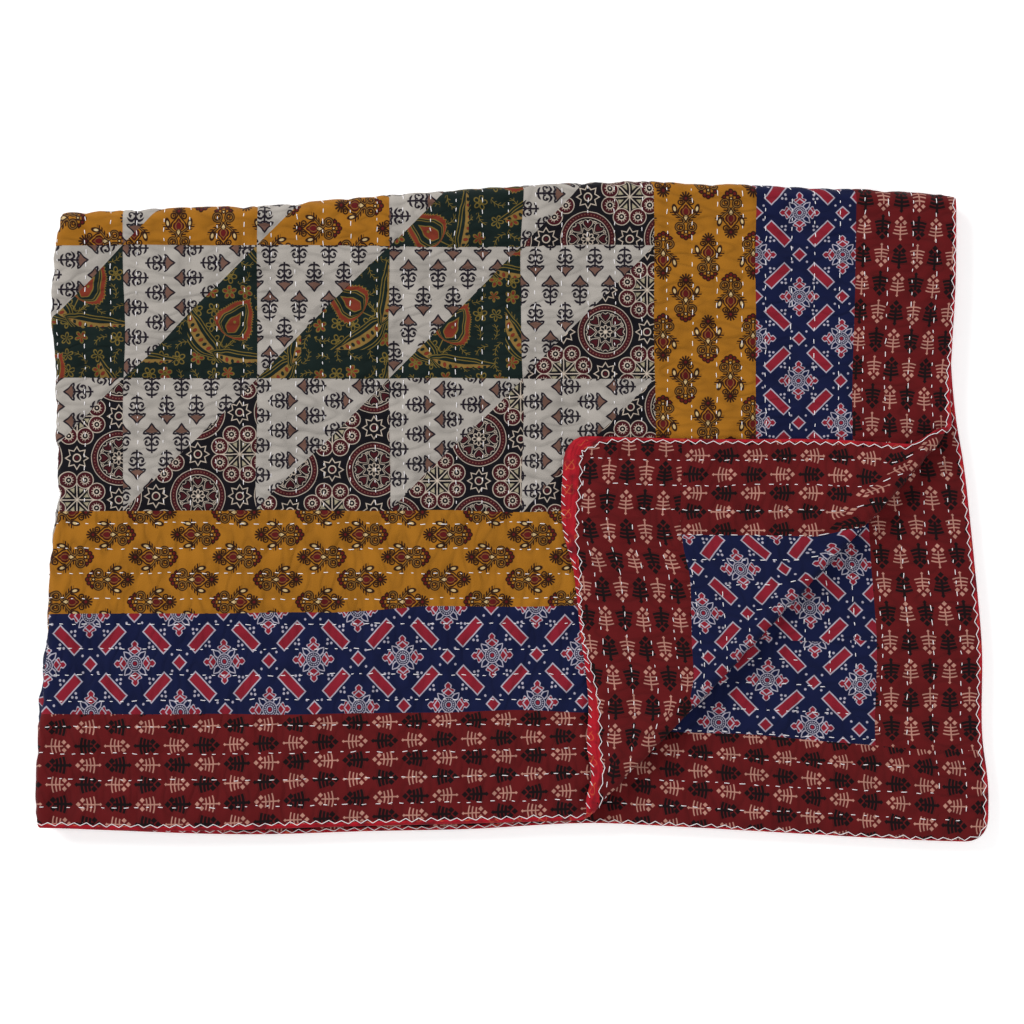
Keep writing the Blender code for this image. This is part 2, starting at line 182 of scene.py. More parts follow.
def fold_side(x, y, z):
    """The left half goes behind."""
    radius = LAYER / 2
    start = side_fold_start(y)
    run, rise = half_turn(start - x, radius, radius + z)
    return start - run, y, rise - radius


def top_fold_radius(x, y):
    """The outer layers go round the top fold in a wider turn than the inner ones."""
    return fold_side(x, y, 0)[2] + 1.5 * LAYER


def fold_top(x, y, z, middle_radius):
    """The upper half of both layers goes behind the lower."""
    start = top_fold_start(x)
    run, rise = half_turn(y - start, middle_radius, z + 1.5 * LAYER)
    return x, start + run, rise - 1.5 * LAYER


def fold_all(x, y, z):
    radius = top_fold_radius(x, y)
    return fold_top(*fold_side(*turn_corner(x, y, z)), radius)


def edges_of(under, inset, x, y):
    """Where a layer's right and lower edges lie: the top layer's at 0 under, those of the ones below at 1."""
    right = (1 - under) * curve_through(UPPER_RIGHT, y) + under * (curve_through(UNDER_RIGHT, y) - inset)
    foot = (1 - under) * curve_through(UPPER_FOOT, x) + under * (curve_through(UNDER_FOOT, x) + inset)
    return right, foot


def true_edges_of(x, y):
    """Where straight folds alone bring the right and lower edges of the layer that a flat point is in."""
    side, top = side_fold_start(y), top_fold_start(fold_side(x, y, 0)[0])
    radius = top_fold_radius(x, y)
    from_left_half = np.clip((side - x) / (math.pi * LAYER / 2), 0, 1)
    from_upper_half = np.clip((y - top) / (math.pi * radius), 0, 1)
    right = HALF_WIDTH + (2 * side - math.pi * LAYER / 2) * from_left_half
    foot = -HALF_LENGTH + (2 * top + math.pi * radius) * from_upper_half
    return right - MIDDLE[0], foot - MIDDLE[1]


def folded(flat):
    """Flat points to their places in the folded quilt, with its lowest face at z = 0."""
    flat_x, flat_y, flat_z = np.asarray(flat, float).T
    x, y, z = fold_all(flat_x, flat_y, flat_z)
    x, y = x - MIDDLE[0], y - MIDDLE[1]
    layer = -fold_all(flat_x, flat_y, 0 * flat_z)[2] / LAYER
    under = np.clip(layer, 0, 1)
    gives = UPPER_GIVES + (UNDER_GIVES - UPPER_GIVES) * under
    true_right, true_foot = true_edges_of(flat_x, flat_y)
    right, foot = edges_of(under, HIDDEN_INSET * np.clip(layer - 1, 0, 2), x, y)
    left, top = curve_through(LEFT_SIDE, y), curve_through(TOP_SIDE, x)
    across = np.clip((x - left) / (true_right - left), 0, 1)
    down = np.clip((top - y) / (top - true_foot), 0, 1)
    turned = smooth((past_turn(flat_x, flat_y) - TURN_LENGTH) / TURN_EASES_IN)
    new_x = x + across**gives * (right - true_right) + turned * curve_through(TURNED_LEFT, y)
    new_y = y + down**gives * (foot - true_foot) + turned * curve_through(TURNED_TOP, x)
    wave = np.sin(2 * math.pi * x / WAVE_ACROSS) * np.cos(2 * math.pi * y / WAVE_ALONG)
    return np.column_stack([new_x, new_y, (z + 3 * LAYER + FULL) * (1 + WAVE_SHARE * wave)])


# ---------------------------------------------------------------- relief of the quilting

ROLL_OUT = 8.2 * MM  # how far the binding reaches out from the edge of the cloth
ROLL_ROUNDING = 5.0 * MM
PUCKER_DEPTH = 1.5 * MM
PUCKER_LEAN = 0.35
PUCKER_MIDWAY = 0.45  # the share of a pucker's depth that is left between the rows
PUCKER_REACH = 0.3  # in row pitches
PUCKER_ALONG = 11 * MM
PUCKER_ACROSS = 30 * MM
PUCKER_SHIFT = 7.3
CENTRE_ROWS_FROM = 100  # added to the numbers of the centre's rows, so that no strip's row has the same
STITCH_PITCH = 10.8 * MM
STITCH_SHIFT = 0.37  # from row to row, in stitch pitches
STITCH_DIP = 0.35 * MM
STITCH_DIP_REACH = 4.0 * MM
SEAM_DEPTH = 0.9 * MM
SEAM_REACH = 2.0 * MM
NO_SEAM_NEAR = 1.0  # well past a seam's reach
SEAM_STRAY = 1.9 * MM
SEAM_STRAY_SIZE = 75 * MM
SEAM_NOISES = ((31, 5, 0), (32, 0, 9))  # for x, then for y: the seed, and where the noise is read from
SEAM_STRAYS_FROM = 20 * MM  # how far in from the edge seams stray in full
RUMPLE_DEPTH = 0.8 * MM
RUMPLE_SIZE = 42 * MM
FACE_SEED, BACK_SEED = 3, 8
NO_THINNER = 0.35 * MM
EDGE_FLATTENS_IN = 5 * MM


def lattice_noise(x, y, seed, period=64):
    """Smooth noise from -1 to 1, with one random value at each whole number."""
    table = np.random.default_rng(seed).uniform(-1, 1, (period, period))
    low_x, low_y = np.floor(x).astype(int), np.floor(y).astype(int)
    share_x, share_y = smooth(x - low_x), smooth(y - low_y)
    lower, upper = (
        table[row, low_x % period] * (1 - share_x) + table[row, (low_x + 1) % period] * share_x
        for row in (low_y % period, (low_y + 1) % period)
    )
    return lower * (1 - share_y) + upper * share_y


def inwards_of(x, y):
    """Distance in from the edge of the cloth."""
    return np.minimum(HALF_WIDTH - np.abs(x), HALF_LENGTH - np.abs(y))


def in_centre(x, y):
    return (np.abs(x) < CENTRE_HALF_WIDTH) & (np.abs(y) < CENTRE_HALF_LENGTH)


def rows_run_up(x, y):
    """Whether rows of stitches run along y. They run up the centre, and round and round the strips."""
    return in_centre(x, y) | (HALF_LENGTH - np.abs(y) >= HALF_WIDTH - np.abs(x))


def row_coordinates(x, y):
    """Distance from the nearest row of stitches, the pitch there, the place along the row and its number."""
    centre = in_centre(x, y)
    pitch = np.where(centre, ROW_PITCH, STRIP_ROW_PITCH)
    across = np.where(centre, x - CENTRE_HALF_WIDTH, inwards_of(x, y))
    number = np.floor(across / pitch)
    from_row = np.abs(across - (number + 0.5) * pitch)
    return from_row, pitch, np.where(rows_run_up(x, y), y, x), number + CENTRE_ROWS_FROM * centre


def from_lines(t, pitch):
    """Distance from the nearest of the lines that lie half a pitch from 0, and every pitch on from there."""
    return np.abs((t / pitch) % 1.0 - 0.5) * pitch


def patchwork_seams(x, y):
    """Distance from the nearest seam of the patchwork, before the seams stray."""
    diagonal = np.abs((x / CELL + 0.5) % 1.0 - (y / CELL + 0.5) % 1.0) * CELL / math.sqrt(2)
    cells = np.minimum(np.minimum(from_lines(x, CELL), from_lines(y, CELL)), diagonal)
    has_cells = (np.abs(x) < CENTRE_HALF_WIDTH + MM) & (np.abs(y) < CENTRE_HALF_LENGTH + MM)
    return np.where(has_cells, cells, from_lines(inwards_of(x, y) + STRIP / 2, STRIP))


def backing_seams(x, y):
    """Distance from the seam between the backing's border and its centre, before it strays."""
    return np.abs(inwards_of(x, y) - STRIP)


# How far the seams of the face lie from their drawn places: by x, the mustard strip's outer seam along the
# foot, and by y, the inner seams of the red and the blue strips up the right side.
FOOT_SEAM = ((-0.02, -2.4 * MM), (0.267, 0.0), (0.355, 5.6 * MM), (0.50, 5.4 * MM))
RED_SIDE_SEAM = ((-0.26, 1.0 * MM), (0.0, 5.6 * MM))
BLUE_SIDE_SEAM = ((-0.26, 1.6 * MM), (0.0, 3.0 * MM))

# How wide the backing's border really is, along its foot by x, and along each side.
BORDER_FOOT = ((-0.88, 0.079), (-0.50, 0.087), (0.45, 0.100), (0.65, 0.097), (0.70, 0.101), (0.78, 0.107))
BORDER_LEFT, BORDER_RIGHT = 0.091, 0.086


def tent(t):
    """0 at 0, 1 at 1 and 0 again at 2."""
    return np.clip(1 - np.abs(t - 1), 0, 1)


def read_off(table, at):
    """What a table's rows, with straight lines between them, give for a number."""
    return np.interp(at, *np.array(table).T)


def strayed(x, y, side):
    """The place of a point of the drawn pattern on the sewn cloth: seams wander, and borders vary."""
    stray = SEAM_STRAY * smooth(inwards_of(x, y) / SEAM_STRAYS_FROM)
    new_x, new_y = (
        place + stray * lattice_noise(x / SEAM_STRAY_SIZE + from_x, y / SEAM_STRAY_SIZE + from_y, seed)
        for place, (seed, from_x, from_y) in zip((x, y), SEAM_NOISES)
    )
    if side < 0:
        new_y = new_y + (read_off(BORDER_FOOT, x) - STRIP) * tent((y + HALF_LENGTH) / STRIP)
        new_x = new_x + (BORDER_LEFT - STRIP) * tent((x + HALF_WIDTH) / STRIP)
        new_x = new_x - (BORDER_RIGHT - STRIP) * tent((HALF_WIDTH - x) / STRIP)
    else:
        new_y = new_y + read_off(FOOT_SEAM, x) * tent((y + HALF_LENGTH) / STRIP - 1)
        for outwards, seam in enumerate((RED_SIDE_SEAM, BLUE_SIDE_SEAM)):
            new_x = new_x + read_off(seam, y) * tent((HALF_WIDTH - x) / STRIP - outwards)
    return new_x, new_y


def half_thickness(x, y, side, seam=NO_SEAM_NEAR):
    """Half the quilt's thickness under a point of the face or the back, given how far the seam is."""
    from_row, pitch, along, number = row_coordinates(x, y)
    seed = FACE_SEED if side > 0 else BACK_SEED
    height = DRAWN_IN + (FULL - DRAWN_IN) * np.abs(np.sin(math.pi * from_row / pitch))
    at_row = np.exp(-((from_row / (PUCKER_REACH * pitch)) ** 2))
    pucker_x = along / PUCKER_ALONG + PUCKER_SHIFT * number
    pucker = lattice_noise(pucker_x, number + from_row / PUCKER_ACROSS, seed)
    height += PUCKER_DEPTH * (PUCKER_LEAN + pucker) * (PUCKER_MIDWAY + (1 - PUCKER_MIDWAY) * at_row)
    at_stitch = np.cos(2 * math.pi * (along / STITCH_PITCH + STITCH_SHIFT * number))
    height -= STITCH_DIP * at_stitch * np.exp(-((from_row / STITCH_DIP_REACH) ** 2))
    height += RUMPLE_DEPTH * lattice_noise(x / RUMPLE_SIZE, y / RUMPLE_SIZE, seed + 1)
    height -= SEAM_DEPTH * np.exp(-((seam / SEAM_REACH) ** 2))
    inwards = inwards_of(x, y)
    flatter = smooth(inwards / EDGE_FLATTENS_IN)
    beyond = np.maximum(ROLL_ROUNDING - ROLL_OUT - inwards, 0) / ROLL_ROUNDING
    falls = np.sqrt(np.clip(1 - beyond**2, 0, 1))
    return np.maximum(EDGE + (height - EDGE) * flatter, NO_THINNER) * falls


# ---------------------------------------------------------------- how much of the binding shows

# Width in millimetres of the band of binding that shows, at distances in metres round the edge of the cloth,
# anticlockwise from its lower left corner.
BAND_ON_BACK = (
    (0.004, 0.6), (1.279, 2.0), (1.379, 10.0), (1.419, 14.0), (1.479, 12.5), (1.519, 8.5), (1.564, 3.0),
    (1.599, 2.5), (1.629, 6.0), (1.659, 11.0), (1.679, 14.5), (1.709, 17.5), (1.745, 17.0),
    (1.771, 13.0), (1.785, 6.5), (1.802, 3.2), (2.177, 4.0), (4.754, 4.0), (5.373, 3.8), (5.973, 4.0),
)
BAND_ON_FACE = (
    (0.0, 4.0), (1.394, 5.0), (2.137, 5.0), (2.187, 3.4), (2.227, 1.6), (2.377, 1.1), (2.677, 1.5),
    (2.996, 3.0), (4.754, 4.0),
)
ROLL_SHARES = np.array([0.0, 0.10, 0.32, 0.68, 0.93])
ROLL_PUFFS = np.array([-0.35, 0.30, 0.95, 0.85, 0.15]) * MM


def band_width(x, y, side):
    """Width of the band of binding that shows at a point on or near the edge of the cloth."""
    from_sides = np.array([y + HALF_LENGTH, HALF_WIDTH - x, HALF_LENGTH - y, x + HALF_WIDTH])
    starts = np.cumsum([0, 2 * HALF_WIDTH, 2 * HALF_LENGTH, 2 * HALF_WIDTH])
    reached = [start + run for start, run in zip(starts, np.roll(from_sides, 1, axis=0))]
    place = np.choose(np.argmin(np.abs(from_sides), axis=0), reached)
    places, widths = np.array(BAND_ON_FACE if side > 0 else BAND_ON_BACK).T
    return MM * np.interp(place, places, widths, period=4 * (HALF_WIDTH + HALF_LENGTH))


# ---------------------------------------------------------------- prints, drawn by shader nodes

SOFT = 0.55  # millimetres over which one colour of a print turns into the next
FAR = 4.5  # millimetres, well past the soft edge of any shape


def add_node(tree, kind, inputs, output=0, **settings):
    """The output of a new shader node. Its inputs take sockets, values and places, or plain numbers."""
    node = tree.nodes.new("ShaderNode" + kind)
    for name, setting in settings.items():
        setattr(node, name, setting)
    for slot, fed in inputs.items():
        source = getattr(fed, "socket", fed)
        if isinstance(source, bpy.types.NodeSocket):
            tree.links.new(source, node.inputs[slot])
        else:
            node.inputs[slot].default_value = source
    return node.outputs[output]


class Value:
    """A number worked out by shader nodes. A shape is such a number: the distance outside it."""

    def __init__(self, tree, socket):
        self.tree, self.socket = tree, socket

    def made(self, operation, *others, clamp=False):
        inputs = dict(enumerate((self, *others)))
        return Value(self.tree, add_node(self.tree, "Math", inputs, operation=operation, use_clamp=clamp))

    __add__ = partialmethod(made, "ADD")
    __sub__ = partialmethod(made, "SUBTRACT")
    __rsub__ = partialmethod(made, "MULTIPLY_ADD", -1.0)
    __mul__ = partialmethod(made, "MULTIPLY")
    __abs__ = partialmethod(made, "ABSOLUTE")
    with_sum = partialmethod(made, "MULTIPLY_ADD")  # times a factor, plus a term
    clamped = partialmethod(made, "MULTIPLY_ADD", clamp=True)  # the same, kept within 0 and 1
    bounced = partialmethod(made, "PINGPONG")  # runs up from 0 to a number and down again, over and over

    def most(self, *others):
        return reduce(lambda largest, other: largest.made("MAXIMUM", other), others, self)

    def least(self, *others):
        return reduce(lambda smallest, other: smallest.made("MINIMUM", other), others, self)

    def wrapped(self, pitch):
        """Brought to within half a pitch of zero by whole pitches."""
        return self.made("WRAP", pitch / 2, -pitch / 2)

    def near(self, middle, reach):
        """Below zero within a reach of the middle."""
        return abs(self - middle) - reach

    def along(self, table):
        """What a smooth curve through a table's (number, result) rows gives for this number."""
        numbers, results = zip(*table)
        span, low, high = numbers[-1] - numbers[0], min(results), max(results)
        node = self.tree.nodes.new("ShaderNodeFloatCurve")
        points = node.mapping.curves[0].points
        for _ in table[2:]:
            points.new(0.5, 0.5)
        for point, (number, result) in zip(points, table):
            point.location = (number - numbers[0]) / span, (result - low) / (high - low)
            point.handle_type = "AUTO_CLAMPED"
        node.mapping.update()
        self.tree.links.new(self.with_sum(1 / span, -numbers[0] / span).socket, node.inputs["Value"])
        return Value(self.tree, node.outputs[0]).with_sum(high - low, low)

    def inside(self):
        """1 where this distance is below zero, with a soft edge."""
        return self.clamped(-1 / SOFT, 0.5)

    def where(self, flag):
        """The same shape where the flag is 1, and nothing where it is 0."""
        return self.most(flag.with_sum(-2 * FAR, FAR))


class Place:
    """A point of the fabric in millimetres, worked out by shader nodes."""

    def __init__(self, tree, socket):
        self.tree, self.socket, self.parts = tree, socket, None

    def made(self, operation, *others, output=0):
        inputs = dict(enumerate((self, *others)))
        return add_node(self.tree, "VectorMath", inputs, output, operation=operation)

    def moved_by(self, operation, *others):
        return Place(self.tree, self.made(operation, *others))

    def measured(self, operation, *others):
        return Value(self.tree, self.made(operation, *others, output="Value"))

    def part(self, i):
        if self.parts is None:
            self.parts = self.tree.nodes.new("ShaderNodeSeparateXYZ")
            self.tree.links.new(self.socket, self.parts.inputs[0])
        return Value(self.tree, self.parts.outputs[i])

    @property
    def x(self):
        return self.part(0)

    @property
    def y(self):
        return self.part(1)

    def seen_from(self, x, y):
        return self.moved_by("SUBTRACT", (x, y, 0))

    def scaled(self, x, y):
        return self.moved_by("MULTIPLY", (x, y, 1))

    def repeated(self, across, along):
        return self.moved_by("WRAP", (across / 2, along / 2, 1), (-across / 2, -along / 2, -1))

    def turned(self, angle):
        """Turned round the origin by an angle in radians."""
        inputs = {"Vector": self, "Angle": angle}
        return Place(self.tree, add_node(self.tree, "VectorRotate", inputs, rotation_type="Z_AXIS"))

    def angle(self):
        return self.y.made("ARCTAN2", self.x)

    def chance(self):
        """Three random numbers from 0 to 1, the same wherever this place is the same."""
        return Place(self.tree, add_node(self.tree, "TexWhiteNoise", {"Vector": self}, "Color"))

    def ahead(self, degrees):
        """Distance along a direction."""
        angle = math.radians(degrees)
        return self.measured("DOT_PRODUCT", (math.cos(angle), math.sin(angle), 0))

    def beyond(self, degrees):
        """Distance to the left of a line through the origin."""
        return self.ahead(degrees + 90)

    def to(self, x, y):
        """Distance to a point."""
        return self.measured("DISTANCE", (x, y, 0))

    def ring(self, x, y, radius, half_width):
        return self.to(x, y).near(radius, half_width)

    def discs(self, *places):
        """Round spots, each given by its x, y and radius."""
        first, *others = [self.to(x, y) - radius for x, y, radius in places]
        return first.least(*others)

    def diamond(self, x, y, reach):
        return abs(self.x - x) + abs(self.y - y) - reach

    def ellipse(self, x, y, across, along):
        """About the distance outside an ellipse."""
        size = min(across, along)
        shrunk = self.moved_by("MULTIPLY_ADD", (1 / across, 1 / along, 1), (-x / across, -y / along, 0))
        return shrunk.measured("LENGTH").with_sum(size, -size)

    def octant(self):
        """Folded into the eighth between the x axis and the diagonal."""
        quarter = self.moved_by("ABSOLUTE")
        return joined(quarter.x.most(quarter.y), quarter.x.least(quarter.y))

    def beside(self, outline):
        """Distance across from an outline with rows of (y, x)."""
        return self.x - self.y.along(outline)

    def above(self, outline):
        """Distance up from an outline with rows of (x, y)."""
        return self.y - self.x.along(outline)

    def folded_at(self, degrees):
        """What lies past a line through the origin is reflected back over it."""
        past, angle = self.beyond(degrees).most(0.0), math.radians(degrees)
        x = past.with_sum(2 * math.sin(angle), self.x)
        return joined(x, past.with_sum(-2 * math.cos(angle), self.y))


def joined(x, y):
    return Place(x.tree, add_node(x.tree, "CombineXYZ", {0: x, 1: y}))


def every(value, pitch):
    """(whole number of the nearest repeat, distance from its middle)."""
    number = (value * (1 / pitch)).made("ROUND")
    return number, number.with_sum(-pitch, value)


def is_odd(number):
    return number.bounced(1.0)


def either_way(flag):
    """1 where the flag is 1, and -1 where it is 0."""
    return flag.with_sum(2.0, -1.0)


def half_dropped(at, half_x, half_y, slant):
    """The nearest motif of two lattices, one dropped half way between the other's motifs.

    Gives its column's number, 1 if it is a dropped one, and the place from its middle, with x never negative.
    The slant says how much nearer a place aside counts than one above."""
    column, x = every(at.x, 2 * half_x)
    y = at.y.wrapped(2 * half_y)
    dropped = (abs(x).with_sum(slant, abs(y)) - (half_x * slant + half_y) / 2).made("GREATER_THAN", 0.0)
    column = (dropped * x.made("SIGN")).with_sum(0.5, column)
    y = (dropped * y.made("SIGN")).with_sum(-half_y, y)
    x = dropped * abs(x).with_sum(-2.0, half_x) + abs(x)
    return column, dropped, x, y


DYE_DEPTH = 0.715


def shaded(red, green, blue):
    """What the cloth gives back, from an sRGB colour out of 255 as seen in the photograph's light."""
    return *(DYE_DEPTH * ((c / 255 + 0.055) / 1.055) ** 2.4 for c in (red, green, blue)), 1.0


# Each print gives its ground colour and its layers, (shape, colour), painted in order. A motif that is the
# same on both sides is drawn with x across it, never negative, and y down from its tip.

TREE_GAP, TREE_ROW, TREE_HALF = 29.1, 27.0, 14.3
TREE_HEAD = (
    (-0.8, -0.8), (1.6, 1.2), (3.4, 2.4), (5.2, 3.9), (6.6, 5.6), (8.0, 7.2), (9.4, 8.1), (10.6, 8.3),
    (11.4, 6.4), (12.2, -0.8),
)
TREE_ARMS = ((0.0, 17.2), (1.6, 15.6), (3.6, 14.1), (5.8, 14.7), (8.6, 17.0))
TREE_ARM_WIDTH = ((0.0, 1.6), (1.6, 1.4), (3.8, 1.2), (6.2, 1.0), (8.4, 0.2), (9.0, -1.0))
TREE_FOOT = ((0.0, 26.9), (2.8, 26.4), (6.3, 24.3))
TREE_FOOT_WIDTH = ((0.0, 0.7), (3.0, 1.1), (5.2, 0.6), (6.3, -1.0))


def print_trees_on_white(at):
    """Spade-headed little trees, row by row up and down."""
    ink, brown, paper = shaded(26, 19, 32), shaded(118, 86, 74), shaded(183, 176, 168)
    _, dropped, x, y = half_dropped(at, TREE_GAP / 2, TREE_ROW, 0.6)
    tree = joined(x, either_way(dropped) * y + TREE_HALF)
    head = tree.beside(TREE_HEAD).most(2.8 - tree.to(4.4, 13.3))
    arms = abs(tree.above(TREE_ARMS)) - tree.x.along(TREE_ARM_WIDTH)
    curl = tree.ring(4.0, 19.5, 2.4, 0.7).most((19.3 - tree.y).least(4.4 - tree.x))
    link = abs(tree.y - 21.4).most(tree.x - 3.4) - 0.6
    foot = abs(tree.above(TREE_FOOT)) - tree.x.along(TREE_FOOT_WIDTH)
    stem = tree.x.most(tree.y.near(20.4, 8.2)) - 0.85
    lines = arms.least(curl, tree.discs((5.0, 18.5, 1.1)), link, foot, stem)
    slope = tree.x.with_sum(0.25, tree.y)
    fill = (head + 1.5).most(slope - 9.8)
    slit = (head + 1.4).most(slope.near(10.8, 0.4), 1.4 - tree.x)
    return paper, (((head - 0.5).least(lines - 0.1), ink), (fill, brown), (slit, paper))


FIR_COLUMN, FIR_ROW, FIR_HALF = 18.25, 28.6, 11.9
FIR_BARS, FIR_BAR_GAP = 14.6, 3.6


def print_firs_on_red(at):
    """Rows of small firs, diamonds over curved bars, cream and black by turns."""
    ground, cream, black = shaded(102, 17, 20), shaded(198, 144, 128), shaded(20, 4, 8)
    column, x = every(at.x, FIR_COLUMN)
    row, y = every(at.y, FIR_ROW)
    odd_column = is_odd(column)
    fir = joined(abs(x), either_way(odd_column) * y + FIR_HALF)
    bend = (fir.x * fir.x).with_sum(0.022, fir.y)
    bars = abs((bend - FIR_BARS).wrapped(FIR_BAR_GAP))
    bars = bars.most(bend.near(FIR_BARS, 4.8), bend.with_sum(-0.27, fir.x) - 1.9)
    stem = fir.x.most(fir.y.near(15.2, 7.4))
    mark = bars.least(stem, fir.diamond(0, 2.2, 1.8), fir.diamond(3.9, 6.3, 1.8), fir.diamond(0, 23.2, 0.9))
    dark = abs(odd_column - is_odd(row))
    thicker = dark.with_sum(-0.7, mark) - 0.6
    return ground, ((thicker.where(1.0 - dark), cream), (thicker.where(dark), black))


BOOTI_COLUMN, BOOTI_ROW, BOOTI_HALF = 21.9, 81.6, 23.7
BOOTI_BODY = ((9.5, 0.4), (12.0, 1.8), (15.0, 4.6), (18.0, 6.8), (21.0, 7.4))
BOOTI_VINE = (
    (17.5, 10.8), (20.5, 10.2), (23.5, 7.8), (26.0, 4.6), (28.2, 1.9), (30.0, 1.6), (31.4, 2.8),
    (32.8, 5.4),
)
BOOTI_HEART = (
    (12.8, -0.6), (14.2, 1.2), (16.2, 2.4), (18.0, 4.4), (20.6, 5.0), (22.8, 4.2), (24.4, 2.2),
    (25.6, -0.6),
)
BOOTI_DROP = ((22.8, -0.6), (24.2, 1.2), (25.8, 2.2), (27.6, 1.6), (29.2, 0.5), (30.4, -0.6))


def print_bootis_on_mustard(at):
    """Oval floral bootis, half dropped, in pairs of columns that face opposite ways."""
    ground, olive = shaded(172, 112, 26), shaded(140, 100, 44)
    ink, maroon, cream = shaded(44, 16, 4), shaded(98, 20, 20), shaded(220, 190, 136)
    column, _, x, y = half_dropped(at, BOOTI_COLUMN, BOOTI_ROW / 2, 1.8)
    booti = joined(x, either_way(is_odd(column.made("FLOOR"))) * y + BOOTI_HALF)

    crown = booti.seen_from(0, 6.8)
    from_crown = crown.to(0, 0)
    rays = crown.angle().bounced(math.radians(15)) * from_crown
    rays = rays.most(from_crown.near(4.2, 1.5), crown.y - 2.4) - 0.7
    body = abs(booti.beside(BOOTI_BODY)).most(booti.y.near(15.0, 5.5)) - 0.7
    beyond_vine = booti.beside(BOOTI_VINE) * 0.75
    vine = abs(beyond_vine).most(booti.y.near(25.2, 7.2)) - 0.9
    ticks = abs(booti.y.wrapped(2.6)).most(beyond_vine.near(2.2, 1.2), booti.y.near(24.0, 4.8)) - 0.55
    neck = booti.x.near(1.8, 0.5).most(booti.y.near(40.4, 2.6))
    curls = booti.ring(5.2, 11.0, 2.3, 0.55).least(booti.ring(4.9, 36.2, 1.5, 0.5))
    dots = booti.discs((4.9, 11.0, 0.8), (8.6, 41.2, 0.9))
    lines = rays.least(curls, body, ticks, neck, dots)
    stems = vine.least(booti.ring(5.9, 35.4, 3.7, 0.8))

    heart = booti.beside(BOOTI_HEART)
    dark = heart.least(booti.discs((0, 6.8, 1.9), (0, 46.2, 2.0), (3.6, 44.6, 1.9), (6.6, 41.6, 1.6)))
    leaf = booti.seen_from(10.8, 17.4).turned(math.radians(-14)).ellipse(0, 0, 1.9, 3.7)
    pale = leaf.least(booti.beside(BOOTI_DROP), booti.diamond(0, 40.2, 1.7))
    return ground, (
        ((lines - 0.15).least(stems - 0.7), ink),
        (stems + 0.4, olive),
        (dark, maroon),
        (pale, cream),
        (dark.near(0, 0.6).least(pale.near(0, 0.7)), ink),
        (heart.near(-2.0, 0.35), olive),
    )


STAR_GAP = 61.2
STAR_BAR_HALF, STAR_BAR_REACH = 4.9, 14.0
STAR_PETAL = (
    (7.6, -0.4), (9.0, 2.4), (11.0, 4.6), (12.8, 6.0), (13.8, 5.0), (14.4, 3.2), (15.4, 2.4),
    (16.8, 2.9), (18.6, 1.8), (20.4, -0.6),
)
STAR_LOOP = ((6.2, 1.5), (8.4, 2.6), (10.4, 2.5), (12.4, 1.5), (14.2, 0.4), (15.4, -0.8))


def print_stars_on_blue(at):
    """A diagonal lattice of stars, with a bar between each two and a square in the middle of each four."""
    red, pale, ground = shaded(144, 28, 46), shaded(190, 184, 198), shaded(12, 21, 62)
    half = STAR_GAP / 2
    at = at.turned(math.radians(45)).repeated(STAR_GAP, STAR_GAP).octant()
    bar = at.x.near(half, STAR_BAR_HALF).most(at.y - STAR_BAR_REACH)
    square = abs(at.x - half).most(abs(at.y - half)) - 4.6
    slant = joined(at.ahead(45), abs(at.beyond(45)))
    solid = bar.least(square, slant.above(STAR_PETAL))
    loop = at.above(STAR_LOOP)
    notch = (abs(slant.y.with_sum(0.8, slant.x) - 14.2) * 0.78).most(slant.y - 4.6)
    hub = at.to(0, 0)
    outline = (abs(solid).least(abs(loop), notch) - 0.55).most(7.0 - hub)
    beads = (at.angle().bounced(math.radians(11.25)) * hub).most(abs(hub - 4.8)) - 0.5
    dots = at.discs((19.6, 0, 1.15), (22.6, 2.4, 1.15), (half, half - 10.4, 1.1))
    pales = outline.least(beads, hub.near(6.7, 0.4), hub.near(2.9, 0.4), dots)
    return ground, ((solid, red), (pales, pale), (hub - 1.7, red))


ROUNDEL_GAP = 82.0
TULIP = (
    (9.0, -0.6), (10.6, 1.4), (12.6, 3.2), (14.6, 4.5), (16.4, 4.9), (17.8, 4.3), (18.8, 2.8),
    (19.6, 0.6),
)
EIGHTH_FOLD = 22.5


